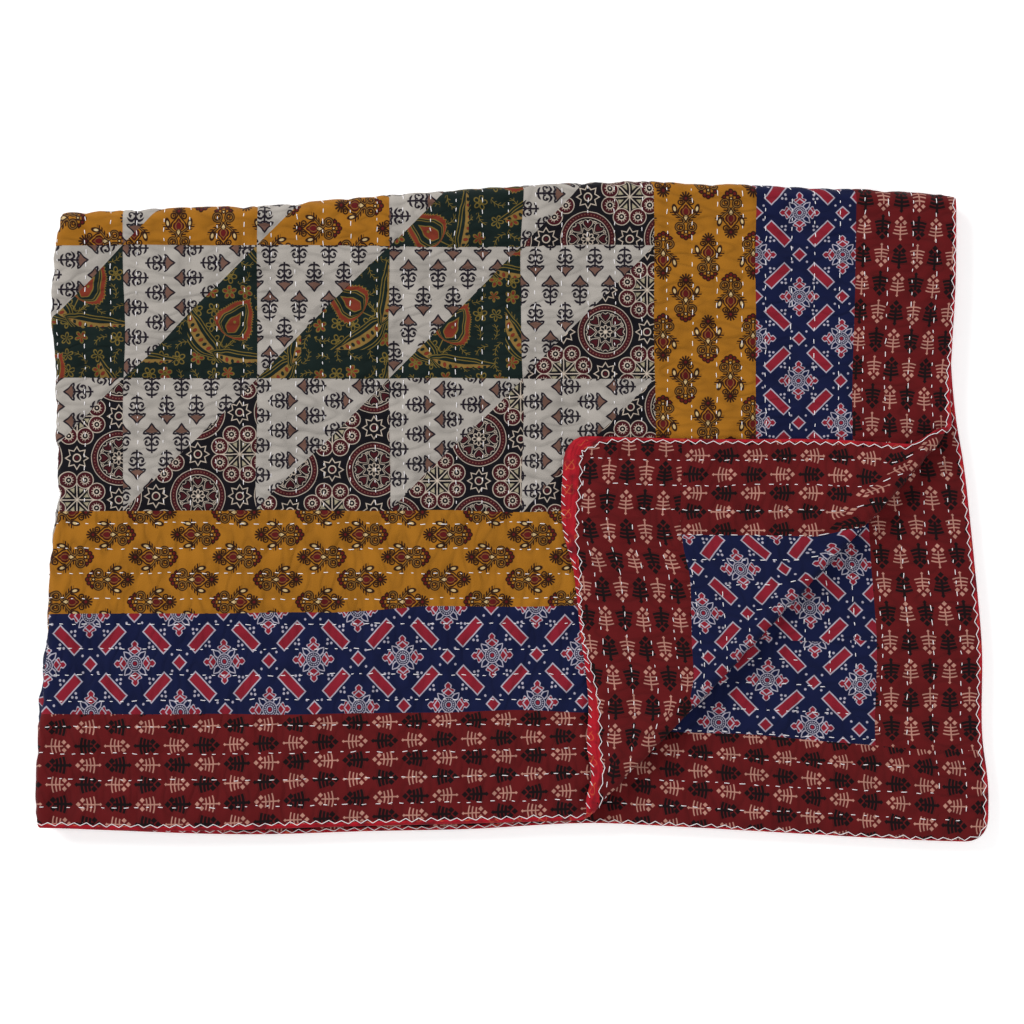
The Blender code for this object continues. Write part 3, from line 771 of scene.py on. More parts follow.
def print_roundels_on_black(at):
    """A square lattice of roundels and disc-ringed wheels, with eight-pointed stars between them."""
    ground, maroon, cream = shaded(13, 10, 19), shaded(70, 15, 24), shaded(214, 198, 180)
    half = ROUNDEL_GAP / 2
    wide = at.repeated(ROUNDEL_GAP, ROUNDEL_GAP).octant()

    reach = wide.to(0, 0)
    near = wide.folded_at(EIGHTH_FOLD)
    from_fold, along_fold = abs(near.beyond(EIGHTH_FOLD)), near.ahead(EIGHTH_FOLD)
    rims = reach.near(26.6, 0.3).least(reach.near(20.9, 0.3))
    rim_dots = abs(near.angle().wrapped(math.radians(7.5))) * 23.8 - 0.5
    tulip = near.above(TULIP).most(2.3 - near.to(20.0, 0))
    links = near.ahead(-34.3).near(6.6, 0.25).most(7.4 - reach, reach - 11.6)
    hub = near.ellipse(4.1, 0, 2.8, 2.0).least(reach - 2.0).most(0.0 - near.ellipse(4.0, 0, 2.1, 1.2))
    wedge = (from_fold.with_sum(1.6, 15.2) - along_fold).most(along_fold - 19.3)

    wheel = joined(half - wide.y, half - wide.x)
    spokes = wheel.folded_at(EIGHTH_FOLD)
    from_spoke, along_gap = abs(spokes.beyond(EIGHTH_FOLD)), spokes.ahead(EIGHTH_FOLD)
    spoke = spokes.y.most(wheel.to(0, 0) - 19.0) - 0.45
    gap = ((from_spoke.with_sum(2.2, 6.2) - along_gap) * 0.41).most(along_gap - 12.0)
    disc = spokes.seen_from(19.4, 8.0)
    from_disc = disc.to(0, 0)
    rays = disc.angle().bounced(math.radians(15)) * from_disc - 0.25

    star = joined(half - wide.x, wide.y)
    points = star.octant().folded_at(EIGHTH_FOLD).ahead(58.5)
    from_star = star.to(0, 0)

    maroons = reach.near(23.7, 2.0).least((tulip + 1.5) * 0.8, from_disc - 7.6, from_star - 1.9)
    rays = rays.most(from_disc.near(4.2, 0.9))
    creams = rims.least(tulip.near(0, 0.3), links, hub, wedge.near(-0.9, 0.35), spoke, rays)
    creams = creams.least(from_disc.near(8.1, 0.35), points.near(5.8, 0.4), from_star.near(3.6, 0.5))
    return ground, (
        (maroons, maroon),
        (rim_dots.most(reach.near(23.8, 0.45)), shaded(140, 92, 78)),
        (gap + 0.2, shaded(172, 162, 134)),
        (creams, cream),
        (from_disc - 3.6, cream),
        (from_disc - 2.7, ground),
        (from_disc - 0.9, cream),
    )


GREEN_ACROSS, GREEN_ALONG = 98.0, 88.0
SCATTER = 16.0
SCATTER_STRAY = 5.0
SPRIG_SHARE, UNDYED_SHARE = 0.42, 0.70
POD = ((-31.0, -0.8), (-23.0, 2.8), (-8.0, 5.0), (6.0, 5.2), (20.0, 3.2), (31.0, -0.8))
HUSK = ((-34.0, -0.8), (-24.0, 6.4), (-8.0, 11.2), (6.0, 10.8), (20.0, 6.2), (34.0, -0.8))
PAISLEY = (
    (-21.0, -1.0), (-19.5, 9.0), (-16.0, 17.0), (-11.0, 20.8), (-5.0, 20.6), (1.0, 17.2), (7.0, 14.4),
    (12.0, 11.6), (17.0, 6.2), (21.0, 2.6), (25.0, -1.0),
)
PAISLEY_TURN = 33
PODS = (
    # x, y of the middle, degrees turned, bend
    (-39.0, -17.0, -122, 0.008),
    (6.0, -45.0, 6, -0.008),
)
STEMS = (
    # from x, y to x, y
    (-23.5, -41.5, -12.5, -17.0),
    (-23.5, -41.5, -5.0, -22.0),
)


def print_paisleys_on_green(at):
    """Serrated paisleys, long beaded pods, five-petalled flowers and sprigs."""
    ground, ochre = shaded(15, 31, 28), shaded(142, 112, 56)
    line, red = shaded(128, 108, 46), shaded(128, 50, 32)
    row, y = every(at.y, GREEN_ALONG)
    x = is_odd(row).with_sum(0.41 * GREEN_ACROSS, at.x).wrapped(GREEN_ACROSS)
    repeat = joined(x, y)

    cell = at.moved_by("SNAP", (SCATTER, SCATTER, 1))
    chance = cell.chance()
    scattered = at.moved_by("SUBTRACT", cell).seen_from(SCATTER / 2, SCATTER / 2)
    # The stray has a height too, which makes some of the flowers smaller.
    stray = chance.seen_from(0.5, 0.5).moved_by("MULTIPLY", (SCATTER_STRAY,) * 3)
    flower = scattered.moved_by("SUBTRACT", stray).turned(chance.x * (2 * math.pi))
    radius = flower.to(0, 0)
    turn = flower.angle().wrapped(math.radians(72))
    petals = joined(turn.made("COSINE") * radius, turn.made("SINE") * radius).ellipse(4.3, 0, 2.5, 1.9)
    curve = (flower.x * flower.x).with_sum(0.05, flower.y) - 2.0
    twigs = abs(abs(curve).with_sum(0.8, flower.x).wrapped(4.2)).most(abs(curve) - 2.4)
    sprig = abs(curve).least(twigs).most(abs(flower.x) - 7.4) - 0.3
    is_flower = chance.y.made("GREATER_THAN", SPRIG_SHARE)
    is_red = chance.y.made("GREATER_THAN", UNDYED_SHARE)
    flowers = petals.near(0, 0.4).least(radius - 1.1).where(is_flower)
    sprigs = sprig.least(flower.to(7.6, -1.4) - 1.1).where(1.0 - is_flower)
    layers = [((petals + 0.5).where(is_red), red), (flowers.least(sprigs), line)]

    for from_x, from_y, to_x, to_y in STEMS:
        reach = math.hypot(to_x - from_x, to_y - from_y)
        degrees = math.degrees(math.atan2(to_y - from_y, to_x - from_x))
        stem = repeat.seen_from(from_x, from_y)
        ends = stem.ahead(degrees).near(reach / 2, reach / 2)
        layers.append((abs(stem.beyond(degrees)).most(ends) - 0.4, line))

    for middle_x, middle_y, degrees, bend in PODS:
        pod = repeat.seen_from(middle_x, middle_y).turned(math.radians(degrees))
        aside = (pod.x * pod.x).with_sum(bend, pod.y)
        body = abs(aside) - pod.x.along(POD)
        husk = abs(aside) - pod.x.along(HUSK)
        number, along = every(pod.x, 5.6)
        bead = joined(along, aside).ellipse(0, 0, 1.6, 2.3).most(body + 1.2)
        layers += [
            (husk - 1.0, ground),
            (husk.near(0, 0.4).least(husk.near(-2.8, 0.4)), line),
            (body - 0.4, ground),
            (body + 0.5, ochre),
            (bead, ground),
            (bead.where(is_odd(number)), red),
        ]

    paisley = repeat.turned(math.radians(PAISLEY_TURN))
    body = (abs(paisley.x) - paisley.y.along(PAISLEY)) * 0.8
    serrated = (paisley.angle() * 13.0).bounced(1.0).with_sum(1.5, body)
    layers += [
        (serrated - 0.8, ground),
        (serrated, line),
        (serrated + 0.8, red),
        (body + 5.2, ground),
        (body.near(-5.6, 0.4).least(body.near(-7.6, 0.3)), line),
        (body + 12.0, red),
        (body.near(-12.0, 0.4).least(paisley.to(0, -5.0) - 1.4), line),
    ]
    return ground, layers


# ---------------------------------------------------------------- materials

MOTTLE_SCALE, MOTTLE_DETAIL, MOTTLE = 16, 4.0, 0.14
GRAIN_SCALE, GRAIN = 1400, 0.18
WEAVE_SCALE, WEAVE_DETAIL, WEAVE_HEIGHT = 700, 2.0, 0.16  # heights are in millimetres
CREASE_LENGTH, CREASE_GAP = 30 * MM, 13 * MM
CREASE_WIDTH = 0.13
# CREASE_SHADE is the share by which painted shade darkens the colour along a crease; CREASE_HEIGHT is how
# deep its bump is
CREASE_SHADE, CREASE_HEIGHT = 0.15, 0.6
DRAWN_SCALE, DRAWN_HEIGHT = 0.6, 5.2
WOBBLE_SCALE, WOBBLE = 90, 0.9  # millimetres that a hand-cut printing block strays
COTTON = {"Specular IOR Level": 0.12, "Sheen Weight": 0.03, "Sheen Roughness": 0.6}


def new_material(name, looks):
    """A new material, its node tree and its shader, with some of the shader's inputs set."""
    material = bpy.data.materials.new(name)
    material.use_nodes = True
    shader = material.node_tree.nodes["Principled BSDF"]
    for slot, value in looks.items():
        shader.inputs[slot].default_value = value
    return material, material.node_tree, shader


def noise(tree, place, scale, detail):
    return Value(tree, add_node(tree, "TexNoise", {"Vector": place, "Scale": scale, "Detail": detail}))


def mixed(tree, factor, under, over):
    """Colour `over` laid on colour `under`."""
    return add_node(tree, "Mix", {0: factor, 6: under, 7: over}, output=2, data_type="RGBA")


def add_bump(tree, shader, height, strength, distance):
    inputs = {"Height": height, "Strength": strength, "Distance": distance}
    tree.links.new(add_node(tree, "Bump", inputs), shader.inputs["Normal"])


def place_in(tree, uv_map):
    return Place(tree, add_node(tree, "UVMap", {}, uv_map=uv_map))


def finish_cloth(tree, shader, colour, fabric, rows, depth):
    """Colour made patchy and grainy by noise, painted shade along creases across the rows of stitches, and
    the bump of a plain weave.
    """
    along_rows = rows.scaled(1 / CREASE_LENGTH, 1 / CREASE_GAP)
    valley = abs(noise(tree, along_rows, 1.0, 0.0) - 0.5).clamped(-1 / CREASE_WIDTH, 1.0)
    mottle = noise(tree, fabric, MOTTLE_SCALE, MOTTLE_DETAIL).with_sum(2 * MOTTLE, 1 - MOTTLE)
    grain = noise(tree, fabric, GRAIN_SCALE, 1.0).with_sum(2 * GRAIN, 1 - GRAIN)
    # painted shade: on top of the patchy and grainy noise, the colour is darkened along each crease valley
    patchy_grainy_and_crease_shade = mottle * grain * valley.with_sum(-CREASE_SHADE, 1.0)
    patchy_crease_shaded_colour = add_node(tree, "VectorMath", {0: colour, "Scale": patchy_grainy_and_crease_shade}, operation="SCALE")
    tree.links.new(patchy_crease_shaded_colour, shader.inputs["Base Color"])
    weave = noise(tree, fabric, WEAVE_SCALE, WEAVE_DETAIL) * WEAVE_HEIGHT
    height = valley.with_sum(-CREASE_HEIGHT * depth, weave)
    height = noise(tree, along_rows, DRAWN_SCALE, 1.0).with_sum(DRAWN_HEIGHT * depth, height)
    add_bump(tree, shader, height, 1.0, MM)


def printed_cotton(name, print_of):
    material, tree, shader = new_material(name, {**COTTON, "Roughness": 0.88})
    fabric = place_in(tree, "print")
    inputs = {"Vector": fabric, "Scale": WOBBLE_SCALE, "Detail": 1.0}
    stray = Place(tree, add_node(tree, "TexNoise", inputs, "Color")).seen_from(0.5, 0.5)
    at = fabric.moved_by("MULTIPLY_ADD", (1 / MM, 1 / MM, 0), stray.scaled(WOBBLE, WOBBLE))
    colour, layers = print_of(at)
    for shape, paint in layers:
        colour = mixed(tree, shape.inside(), colour, paint)
    finish_cloth(tree, shader, colour, fabric, place_in(tree, "rows"), 1.0)
    return material


PRINTS = {
    "white": print_trees_on_white,
    "red": print_firs_on_red,
    "mustard": print_bootis_on_mustard,
    "blue": print_stars_on_blue,
    "black": print_roundels_on_black,
    "green": print_paisleys_on_green,
}
FABRICS = list(PRINTS)
materials = [printed_cotton(f"cotton_{name}", draw) for name, draw in PRINTS.items()]

# ---------------------------------------------------------------- where each fabric lies

# Turn is quarter turns anticlockwise; the place is where one motif's middle lies, in millimetres from the
# middle of the cell. Cells are numbered from the upper left corner of the patchwork.
VISIBLE_PATCHES = (
    # column, row, white: turn, x, y, coloured: turn, x, y
    (5, 3, 2, -30.0, -40.0, 1, 43.6, -60.5),
    (6, 3, 2, -53.9, -40.7, 0, -11.5, -49.4),
    (7, 3, 2, -57.6, -38.2, 1, -6.4, -48.2),
    (8, 3, 3, -32.4, -21.7, 1, -31.5, -48.7),
    (9, 3, 3, -36.8, -14.4, 0, -0.6, -58.5),
    (5, 4, 3, 15.7, 51.0, 0, 32.3, 29.4),
    (6, 4, 3, -29.1, 48.0, 0, 46.0, -5.7),
    (7, 4, 0, -52.6, 6.9, 1, 22.2, 11.9),
    (8, 4, 0, -46.5, 37.3, 0, -0.5, -10.7),
    (9, 4, 0, -37.4, 21.6, 0, 16.6, -19.6),
    (5, 5, 1, 19.6, 51.8, 0, 59.8, -13.1),
    (6, 5, 0, -37.9, 6.8, 0, 7.2, -50.4),
    (7, 5, 3, -38.9, 43.0, 0, 49.7, -24.4),
    (8, 5, 3, -34.5, 39.3, 0, 22.5, 5.5),
    (9, 5, 3, -49.6, 42.3, 0, 0.4, -45.0),
)
RING_COLOURS = ("black", "green", "mustard")
CHANCE_REACH = 60  # millimetres, where the place is left to chance

# Strips, from the edge inwards, along the foot and then up the right side: the turn, the place of one
# motif's middle in metres from the middle of the cloth, and how far the print is stretched each way.
FACE_STRIPS = (
    # fabric, foot: turn, x, y, across, along; side: turn, x, y, across, along
    ("red", (1.009, 0.0300, -0.6045, 0.965, 1.018), (-0.029, 0.7933, -0.0462, 1.0, 0.965)),
    ("blue", (1.013, 0.1630, -0.4714, 1.085, 1.011), (0.0, 0.7282, -0.1150, 0.995, 0.951)),
    ("mustard", (1.0, 0.0928, -0.3700, 1.0, 1.010), (0.0, 0.6156, -0.0352, 1.015, 0.985)),
)
# The backing shows at two corners, so its prints are placed for each: the left half's, then the right half's.
# Its centre is pieced from two lengths on the left, so there the second place is the upper length's.
BACK_FOOT = ((1.010, -0.5726, -0.6075, 1.0, 0.90), (1.0, -0.0054, -0.6188, 1.0, 1.0))
BACK_SIDE = ((-0.018, -0.8559, -0.4650, 1.0, 0.955), (0.0, 0.8890, -0.0110, 1.0, 1.0))
BACK_CENTRE = (((-0.6861, -0.4802), (-0.7262, -0.4089)), ((0.717, -0.504), (0.717, -0.504)))
BACK_JOIN = -0.4412
PLAIN = (1.0, 1.0)


def block_lines(cell_count):
    """The seams across the cloth from one edge to the other."""
    cells = (np.arange(cell_count + 1) - cell_count / 2) * CELL
    strips = cells[-1] + STRIP * np.arange(1, STRIPS + 1)
    return np.concatenate([-strips[::-1], cells, strips])


ACROSS_LINES, ALONG_LINES = block_lines(CELLS_ACROSS), block_lines(CELLS_ALONG)
BLOCKS_ACROSS, BLOCKS_ALONG = len(ACROSS_LINES) - 1, len(ALONG_LINES) - 1


def face_patch(i, j, white):
    """(fabric, turn, x, y, across, along) of block i, j of the face, for its white or its coloured half."""
    ring = min(i, BLOCKS_ACROSS - 1 - i, j, BLOCKS_ALONG - 1 - j)
    if ring < STRIPS:
        fabric, foot, (turn, x, y, *stretch) = FACE_STRIPS[ring]
        if j == ring:
            return fabric, *foot
        if j == BLOCKS_ALONG - 1 - ring:
            return fabric, foot[0], foot[1], -foot[2], *PLAIN
        return (fabric, turn, x, y, *stretch) if i > STRIPS else (fabric, 0, -x, y, *PLAIN)
    column, row = i - STRIPS + 1, CELLS_ALONG - (j - STRIPS)
    colour = RING_COLOURS[min(column - 1, CELLS_ACROSS - column, row - 1, CELLS_ALONG - row)]
    middle_x = (column - (CELLS_ACROSS + 1) / 2) * CELL
    middle_y = ((CELLS_ALONG + 1) / 2 - row) * CELL
    chance = np.random.default_rng(100 * column + row)
    by_chance = []
    for _ in ("white", "coloured"):
        by_chance += [chance.integers(0, 4), *chance.uniform(-CHANCE_REACH, CHANCE_REACH, 2)]
    chosen = {(c, r): rest for c, r, *rest in VISIBLE_PATCHES}.get((column, row), by_chance)
    turn, x, y = chosen[:3] if white else chosen[3:]
    return "white" if white else colour, turn, middle_x + x * MM, middle_y + y * MM, *PLAIN


def back_patch(i, j, upper):
    """(fabric, turn, x, y, across, along) of block i, j of the backing, below or above its join."""
    half = int(i > BLOCKS_ACROSS // 2)
    if j in (0, BLOCKS_ALONG - 1):
        return "red", *BACK_FOOT[half]
    if i in (0, BLOCKS_ACROSS - 1):
        return "red", *BACK_SIDE[half]
    return "blue", 0, *BACK_CENTRE[half][upper], *PLAIN


# ---------------------------------------------------------------- panels of cloth

LAP_UNDER = 0.9 * MM  # how far the printed cloths run on under the band of binding
SHORT_OF_TIP = 0.3 * MM


def panel_lines(lines, first, last, per_cell):
    """Grid places from one seam to another, with each interval's block and its number in the block."""
    places, blocks, steps = [], [], []
    for block in range(first, last):
        low, high = lines[block], lines[block + 1]
        count = per_cell if high - low > (CELL + STRIP) / 2 else max(2, round(per_cell * STRIP / CELL))
        places += list(np.linspace(low, high, count + 1)[:-1])
        blocks += [block] * count
        steps += range(count)
    places.append(lines[last])
    return np.array(places), np.array(blocks), np.array(steps)


def lapped(x, y, side):
    """The outermost points of a panel moved out to lie under the band of binding."""
    lap = np.clip(ROLL_OUT - band_width(x, y, side) + LAP_UNDER, MM, ROLL_OUT - SHORT_OF_TIP)
    new_x = np.where(np.isclose(np.abs(x), HALF_WIDTH), x + np.sign(x) * lap, x)
    return new_x, np.where(np.isclose(np.abs(y), HALF_LENGTH), y + np.sign(y) * lap, y)


def rounded_corner(x, y):
    """Points near a corner of the cloth drawn in to its round."""
    out_x, out_y = np.abs(x) - (HALF_WIDTH - CORNER_RADIUS), np.abs(y) - (HALF_LENGTH - CORNER_RADIUS)
    both = (out_x > 0) & (out_y > 0)
    scale = np.where(both, np.maximum(out_x, out_y) / np.maximum(np.hypot(out_x, out_y), TINY), 1.0)
    new_x = np.sign(x) * (HALF_WIDTH - CORNER_RADIUS + out_x * scale)
    new_y = np.sign(y) * (HALF_LENGTH - CORNER_RADIUS + out_y * scale)
    return np.where(both, new_x, x), np.where(both, new_y, y)


def make_mesh(name, points, faces, face_fabrics, **coordinates):
    """A smooth mesh of 3- and 4-cornered faces, with a fabric for each and named sets of coordinates."""
    mesh = bpy.data.meshes.new(name)
    corners = np.concatenate([f.ravel() for f in faces])
    totals = np.concatenate([np.full(len(f), f.shape[1]) for f in faces])
    mesh.vertices.add(len(points))
    mesh.vertices.foreach_set("co", np.asarray(points, np.float32).ravel())
    mesh.loops.add(len(corners))
    mesh.loops.foreach_set("vertex_index", corners.astype(np.int32))
    mesh.polygons.add(len(totals))
    mesh.polygons.foreach_set("loop_start", np.concatenate([[0], np.cumsum(totals)[:-1]]).astype(np.int32))
    mesh.polygons.foreach_set("material_index", np.concatenate(face_fabrics).astype(np.int32))
    for set_name, places in coordinates.items():
        layer = mesh.uv_layers.new(name=set_name)
        flat_places = np.concatenate([p.ravel() for p in places])
        layer.uv.foreach_set("vector", flat_places.astype(np.float32))
    mesh.update(calc_edges=True)
    mesh.validate()
    mesh.shade_smooth()
    piece = bpy.data.objects.new(name, mesh)
    bpy.context.scene.collection.objects.link(piece)
    return piece


def in_fabric(flat, places):
    """Flat corners of faces as places in each face's fabric, from its turn, x, y and stretches."""
    turn, from_x, from_y, across, along = places.T[:, :, None]
    cos, sin = np.cos(turn * math.pi / 2), np.sin(turn * math.pi / 2)
    x, y = flat[:, :, 0] - from_x, flat[:, :, 1] - from_y
    return np.stack([(x * cos + y * sin) / across, (y * cos - x * sin) / along], axis=2)


def in_rows(flat):
    """Flat corners of faces to distances across and along the rows of stitches at the middle of each face."""
    x, y = flat[..., 0], flat[..., 1]
    run_up = rows_run_up(x.mean(axis=1, keepdims=True), y.mean(axis=1, keepdims=True))
    return np.stack([np.where(run_up, x, y), np.where(run_up, y, x)], axis=2)


def make_panel(name, side, blocks, per_cell, patch_of):
    """One side of the cloth over a rectangle of blocks, from its first to its last seams across and along."""
    first_x, last_x, first_y, last_y = blocks
    xs, block_x, step_x = panel_lines(ACROSS_LINES, first_x, last_x, per_cell)
    ys, block_y, step_y = panel_lines(ALONG_LINES, first_y, last_y, per_cell)
    pattern_x, pattern_y = (grid.ravel() for grid in np.meshgrid(xs, ys))
    seam = (patchwork_seams if side > 0 else backing_seams)(pattern_x, pattern_y)
    x, y = strayed(*rounded_corner(*lapped(pattern_x, pattern_y, side)), side)
    height = side * half_thickness(x, y, side, seam)
    points = folded(np.column_stack([x, y, height]))
    flat = np.column_stack([x, y])

    across, along = len(xs) - 1, len(ys) - 1
    column, row = (grid.ravel() for grid in np.meshgrid(np.arange(across), np.arange(along)))
    corner = row * (across + 1) + column
    quads = np.stack([corner, corner + 1, corner + across + 2, corner + across + 1], axis=1)
    i, j, a, b = block_x[column], block_y[row], step_x[column], step_y[row]
    in_cells_across = (i >= STRIPS) & (i < BLOCKS_ACROSS - STRIPS)
    is_cell = (side > 0) & in_cells_across & (j >= STRIPS) & (j < BLOCKS_ALONG - STRIPS)
    on_diagonal = is_cell & (a == b)
    half = (is_cell & (b > a) if side > 0 else y[corner] > BACK_JOIN).astype(int)

    patches = np.array([
        [[(FABRICS.index(fabric), *place) for fabric, *place in (patch_of(p, q, 0), patch_of(p, q, 1))]
         for q in range(first_y, last_y)]
        for p in range(first_x, last_x)
    ])
    groups = (
        # which faces, their corners, their halves of a block
        (~on_diagonal, (0, 1, 2, 3), half),
        (on_diagonal, (0, 1, 2), 0 * half),
        (on_diagonal, (0, 2, 3), 0 * half + 1),
    )
    faces, fabrics, fabric_places, row_places = [], [], [], []
    for kept, picked, halves in groups:
        corners = quads[kept][:, picked][:, ::side]
        patch = patches[i[kept] - first_x, j[kept] - first_y, halves[kept]]
        faces.append(corners)
        fabrics.append(patch[:, 0])
        fabric_places.append(in_fabric(flat[corners], patch[:, 1:]))
        row_places.append(in_rows(flat[corners]))
    piece = make_mesh(name, points, faces, fabrics, print=fabric_places, rows=row_places)
    for material in materials:
        piece.data.materials.append(material)
    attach(piece, "root")
    return piece


# Seams are numbered from the left edge and from the foot. Both folds run through the cell in the middle.
MIDDLE_CELL_LEFT = STRIPS + CELLS_ACROSS // 2
MIDDLE_CELL_HIGH = STRIPS + CELLS_ALONG // 2 + 1
CORNER_BLOCKS = STRIPS + 1

PANELS = (
    # name, side, seams: left, right, low, high, grid steps in a cell
    ("patchwork_top", 1, (MIDDLE_CELL_LEFT, BLOCKS_ACROSS, 0, MIDDLE_CELL_HIGH), 48),
    ("patchwork_under", 1, (MIDDLE_CELL_LEFT, BLOCKS_ACROSS, MIDDLE_CELL_HIGH, BLOCKS_ALONG), 24),
    ("patchwork_inside", 1, (0, MIDDLE_CELL_LEFT, 0, BLOCKS_ALONG), 12),
    ("backing_turned_corner", -1, (BLOCKS_ACROSS - CORNER_BLOCKS, BLOCKS_ACROSS, 0, CORNER_BLOCKS), 48),
    ("backing_second_corner", -1, (0, CORNER_BLOCKS, 0, CORNER_BLOCKS), 48),
    ("backing_inside_foot", -1, (CORNER_BLOCKS, BLOCKS_ACROSS - CORNER_BLOCKS, 0, CORNER_BLOCKS), 12),
    ("backing_inside", -1, (0, BLOCKS_ACROSS, CORNER_BLOCKS, BLOCKS_ALONG), 12),
)
panels = {
    name: make_panel(name, side, blocks, per_cell, face_patch if side > 0 else back_patch)
    for name, side, blocks, per_cell in PANELS
}
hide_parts("quilt")

# ---------------------------------------------------------------- threads

THREAD_RADIUS = 0.43 * MM
THREAD_SIDES = 5
THREAD_FLATNESS = 0.8
THREAD_DARK, THREAD_PALE = (0.68, 0.64, 0.66, 1), (0.93, 0.91, 0.91, 1)
THREAD_SHADE_SCALE, THREAD_TWIST_SCALE = 260, 1800
THREAD_TWIST, THREAD_TWIST_HEIGHT = 0.3, 0.2 * MM
STEEP = 0.9  # a thread that points up more than this has its sides worked out from x in place of z


def thread_material():
    material, tree, shader = new_material("white_thread", {**COTTON, "Roughness": 0.7})
    place = add_node(tree, "TexCoord", {}, "Object")
    colour = mixed(tree, noise(tree, place, THREAD_SHADE_SCALE, 2.0), THREAD_DARK, THREAD_PALE)
    tree.links.new(colour, shader.inputs["Base Color"])
    twist = noise(tree, place, THREAD_TWIST_SCALE, 1.0)
    add_bump(tree, shader, twist, THREAD_TWIST, THREAD_TWIST_HEIGHT)
    return material


thread = thread_material()


def unit(vectors):
    return vectors / (np.linalg.norm(vectors, axis=2, keepdims=True) + TINY)


def sew(name, x, y, z, radii):
    """Thread along flat lines, given by line and station, with one radius or one for each station."""
    lines = folded(np.stack([x, y, z], axis=2).reshape(-1, 3)).reshape(*x.shape, 3)
    ahead = unit(np.gradient(lines, axis=1))
    up = np.where(np.abs(ahead[..., 2:]) > STEEP, (1, 0, 0), (0, 0, 1))
    across = unit(np.cross(ahead, up))
    over = THREAD_FLATNESS * np.cross(across, ahead)
    angles = (2 * math.pi * np.arange(THREAD_SIDES) / THREAD_SIDES)[:, None]
    ring = across[:, :, None] * np.cos(angles) + over[:, :, None] * np.sin(angles)
    points = (lines[:, :, None] + ring * np.broadcast_to(radii, x.shape)[:, :, None, None]).reshape(-1, 3)
    tubes, stations = x.shape
    base = (np.arange(tubes)[:, None] * stations + np.arange(stations - 1)).ravel() * THREAD_SIDES
    sides = np.arange(THREAD_SIDES)
    steps = np.stack([sides, THREAD_SIDES + sides], axis=1)
    steps = np.concatenate([steps, np.roll(steps, -1, axis=0)[:, ::-1]], axis=1)
    faces = (base[:, None, None] + steps).reshape(-1, 4)[:, ::-1]
    piece = make_mesh(name, points, [faces], [np.zeros(len(faces))])
    piece.data.materials.append(thread)
    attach(piece, "root")


STITCH_LENGTHS = (2.8 * MM, 7.4 * MM)
STITCH_GAPS = (3.6 * MM, 7.8 * MM)
STITCH_SINKS = 0.45 * MM
STITCH_DRIFT, STITCH_DRIFT_KEPT = 0.35 * MM, 0.8
STITCH_STRAY = 0.15 * MM
STITCH_TILT = 0.09
STITCH_SEED = 5
ROW_STARTS = (2 * MM, 9 * MM)
ROW_END = 8 * MM
STITCH_STATIONS = np.array([-0.5, -0.3, 0.0, 0.3, 0.5])
STITCH_RISES = np.array([-0.7, 0.35, 0.62, 0.35, -0.7]) * MM
STITCH_RADII = np.array([0.55, 0.95, 1.0, 0.95, 0.55])


def row_lines():
    """The rows of stitches as flat straight runs: (start, end)."""
    rows = []
    for number in range(ROWS_IN_CELL * CELLS_ACROSS):
        x = -CENTRE_HALF_WIDTH + (number + 0.5) * ROW_PITCH
        rows.append(((x, -CENTRE_HALF_LENGTH), (x, CENTRE_HALF_LENGTH)))
    for number in range(ROWS_IN_STRIP * STRIPS):
        inwards = (number + 0.5) * STRIP_ROW_PITCH
        x, y = HALF_WIDTH - inwards, HALF_LENGTH - inwards
        rows += [((-x, -y), (x, -y)), ((x, -y), (x, y)), ((x, y), (-x, y)), ((-x, y), (-x, -y))]
    return rows


def stitches(seed):
    """Running stitches on one side of the whole cloth, flat.

    Each has its middle's x and y, its direction's x and y, its length and how deep it sinks."""
    chance = np.random.default_rng(seed)
    found = []
    for start, end in row_lines():
        reach = math.dist(start, end)
        ahead = np.subtract(end, start) / reach
        aside = np.array([-ahead[1], ahead[0]])
        at = chance.uniform(*ROW_STARTS)
        drift = 0.0
        while at < reach - ROW_END:
            length = chance.uniform(*STITCH_LENGTHS)
            drift = STITCH_DRIFT_KEPT * drift + chance.normal(0, STITCH_DRIFT)
            middle = start + ahead * (at + length / 2) + aside * (drift + chance.normal(0, STITCH_STRAY))
            direction = ahead + chance.normal(0, STITCH_TILT) * aside
            found.append((*middle, *direction, length, chance.uniform(0, STITCH_SINKS)))
            at += length + chance.uniform(*STITCH_GAPS)
    return np.array(found)


LEFT_OF_FOLD, ABOVE_FOLD = -0.02, 0.03
STITCHED = (
    # name, side, where it shows
    ("stitches_top", 1, lambda x, y: (x > LEFT_OF_FOLD) & (y < ABOVE_FOLD) & (past_turn(x, y) < TURN_LENGTH)),
    ("stitches_below", 1, lambda x, y: (x > LEFT_OF_FOLD) & (y >= ABOVE_FOLD)),
    ("stitches_turned_corner", -1, lambda x, y: (x > 0) & (past_turn(x, y) > 0)),
    ("stitches_second_corner", -1, lambda x, y: (x < 0) & (past_turn(-x, y) > -10 * MM)),
)
for name, side, shows in STITCHED:
    found = stitches(STITCH_SEED + side)
    found = found[shows(found[:, 0], found[:, 1])][:, None]
    shares = found[..., 4] * STITCH_STATIONS
    x, y = (found[..., k] + found[..., k + 2] * shares for k in (0, 1))
    z = side * (half_thickness(x, y, side) + STITCH_RISES - found[..., 5])
    sew(name, x, y, z, THREAD_RADIUS * STITCH_RADII)

# ---------------------------------------------------------------- binding and its zigzag

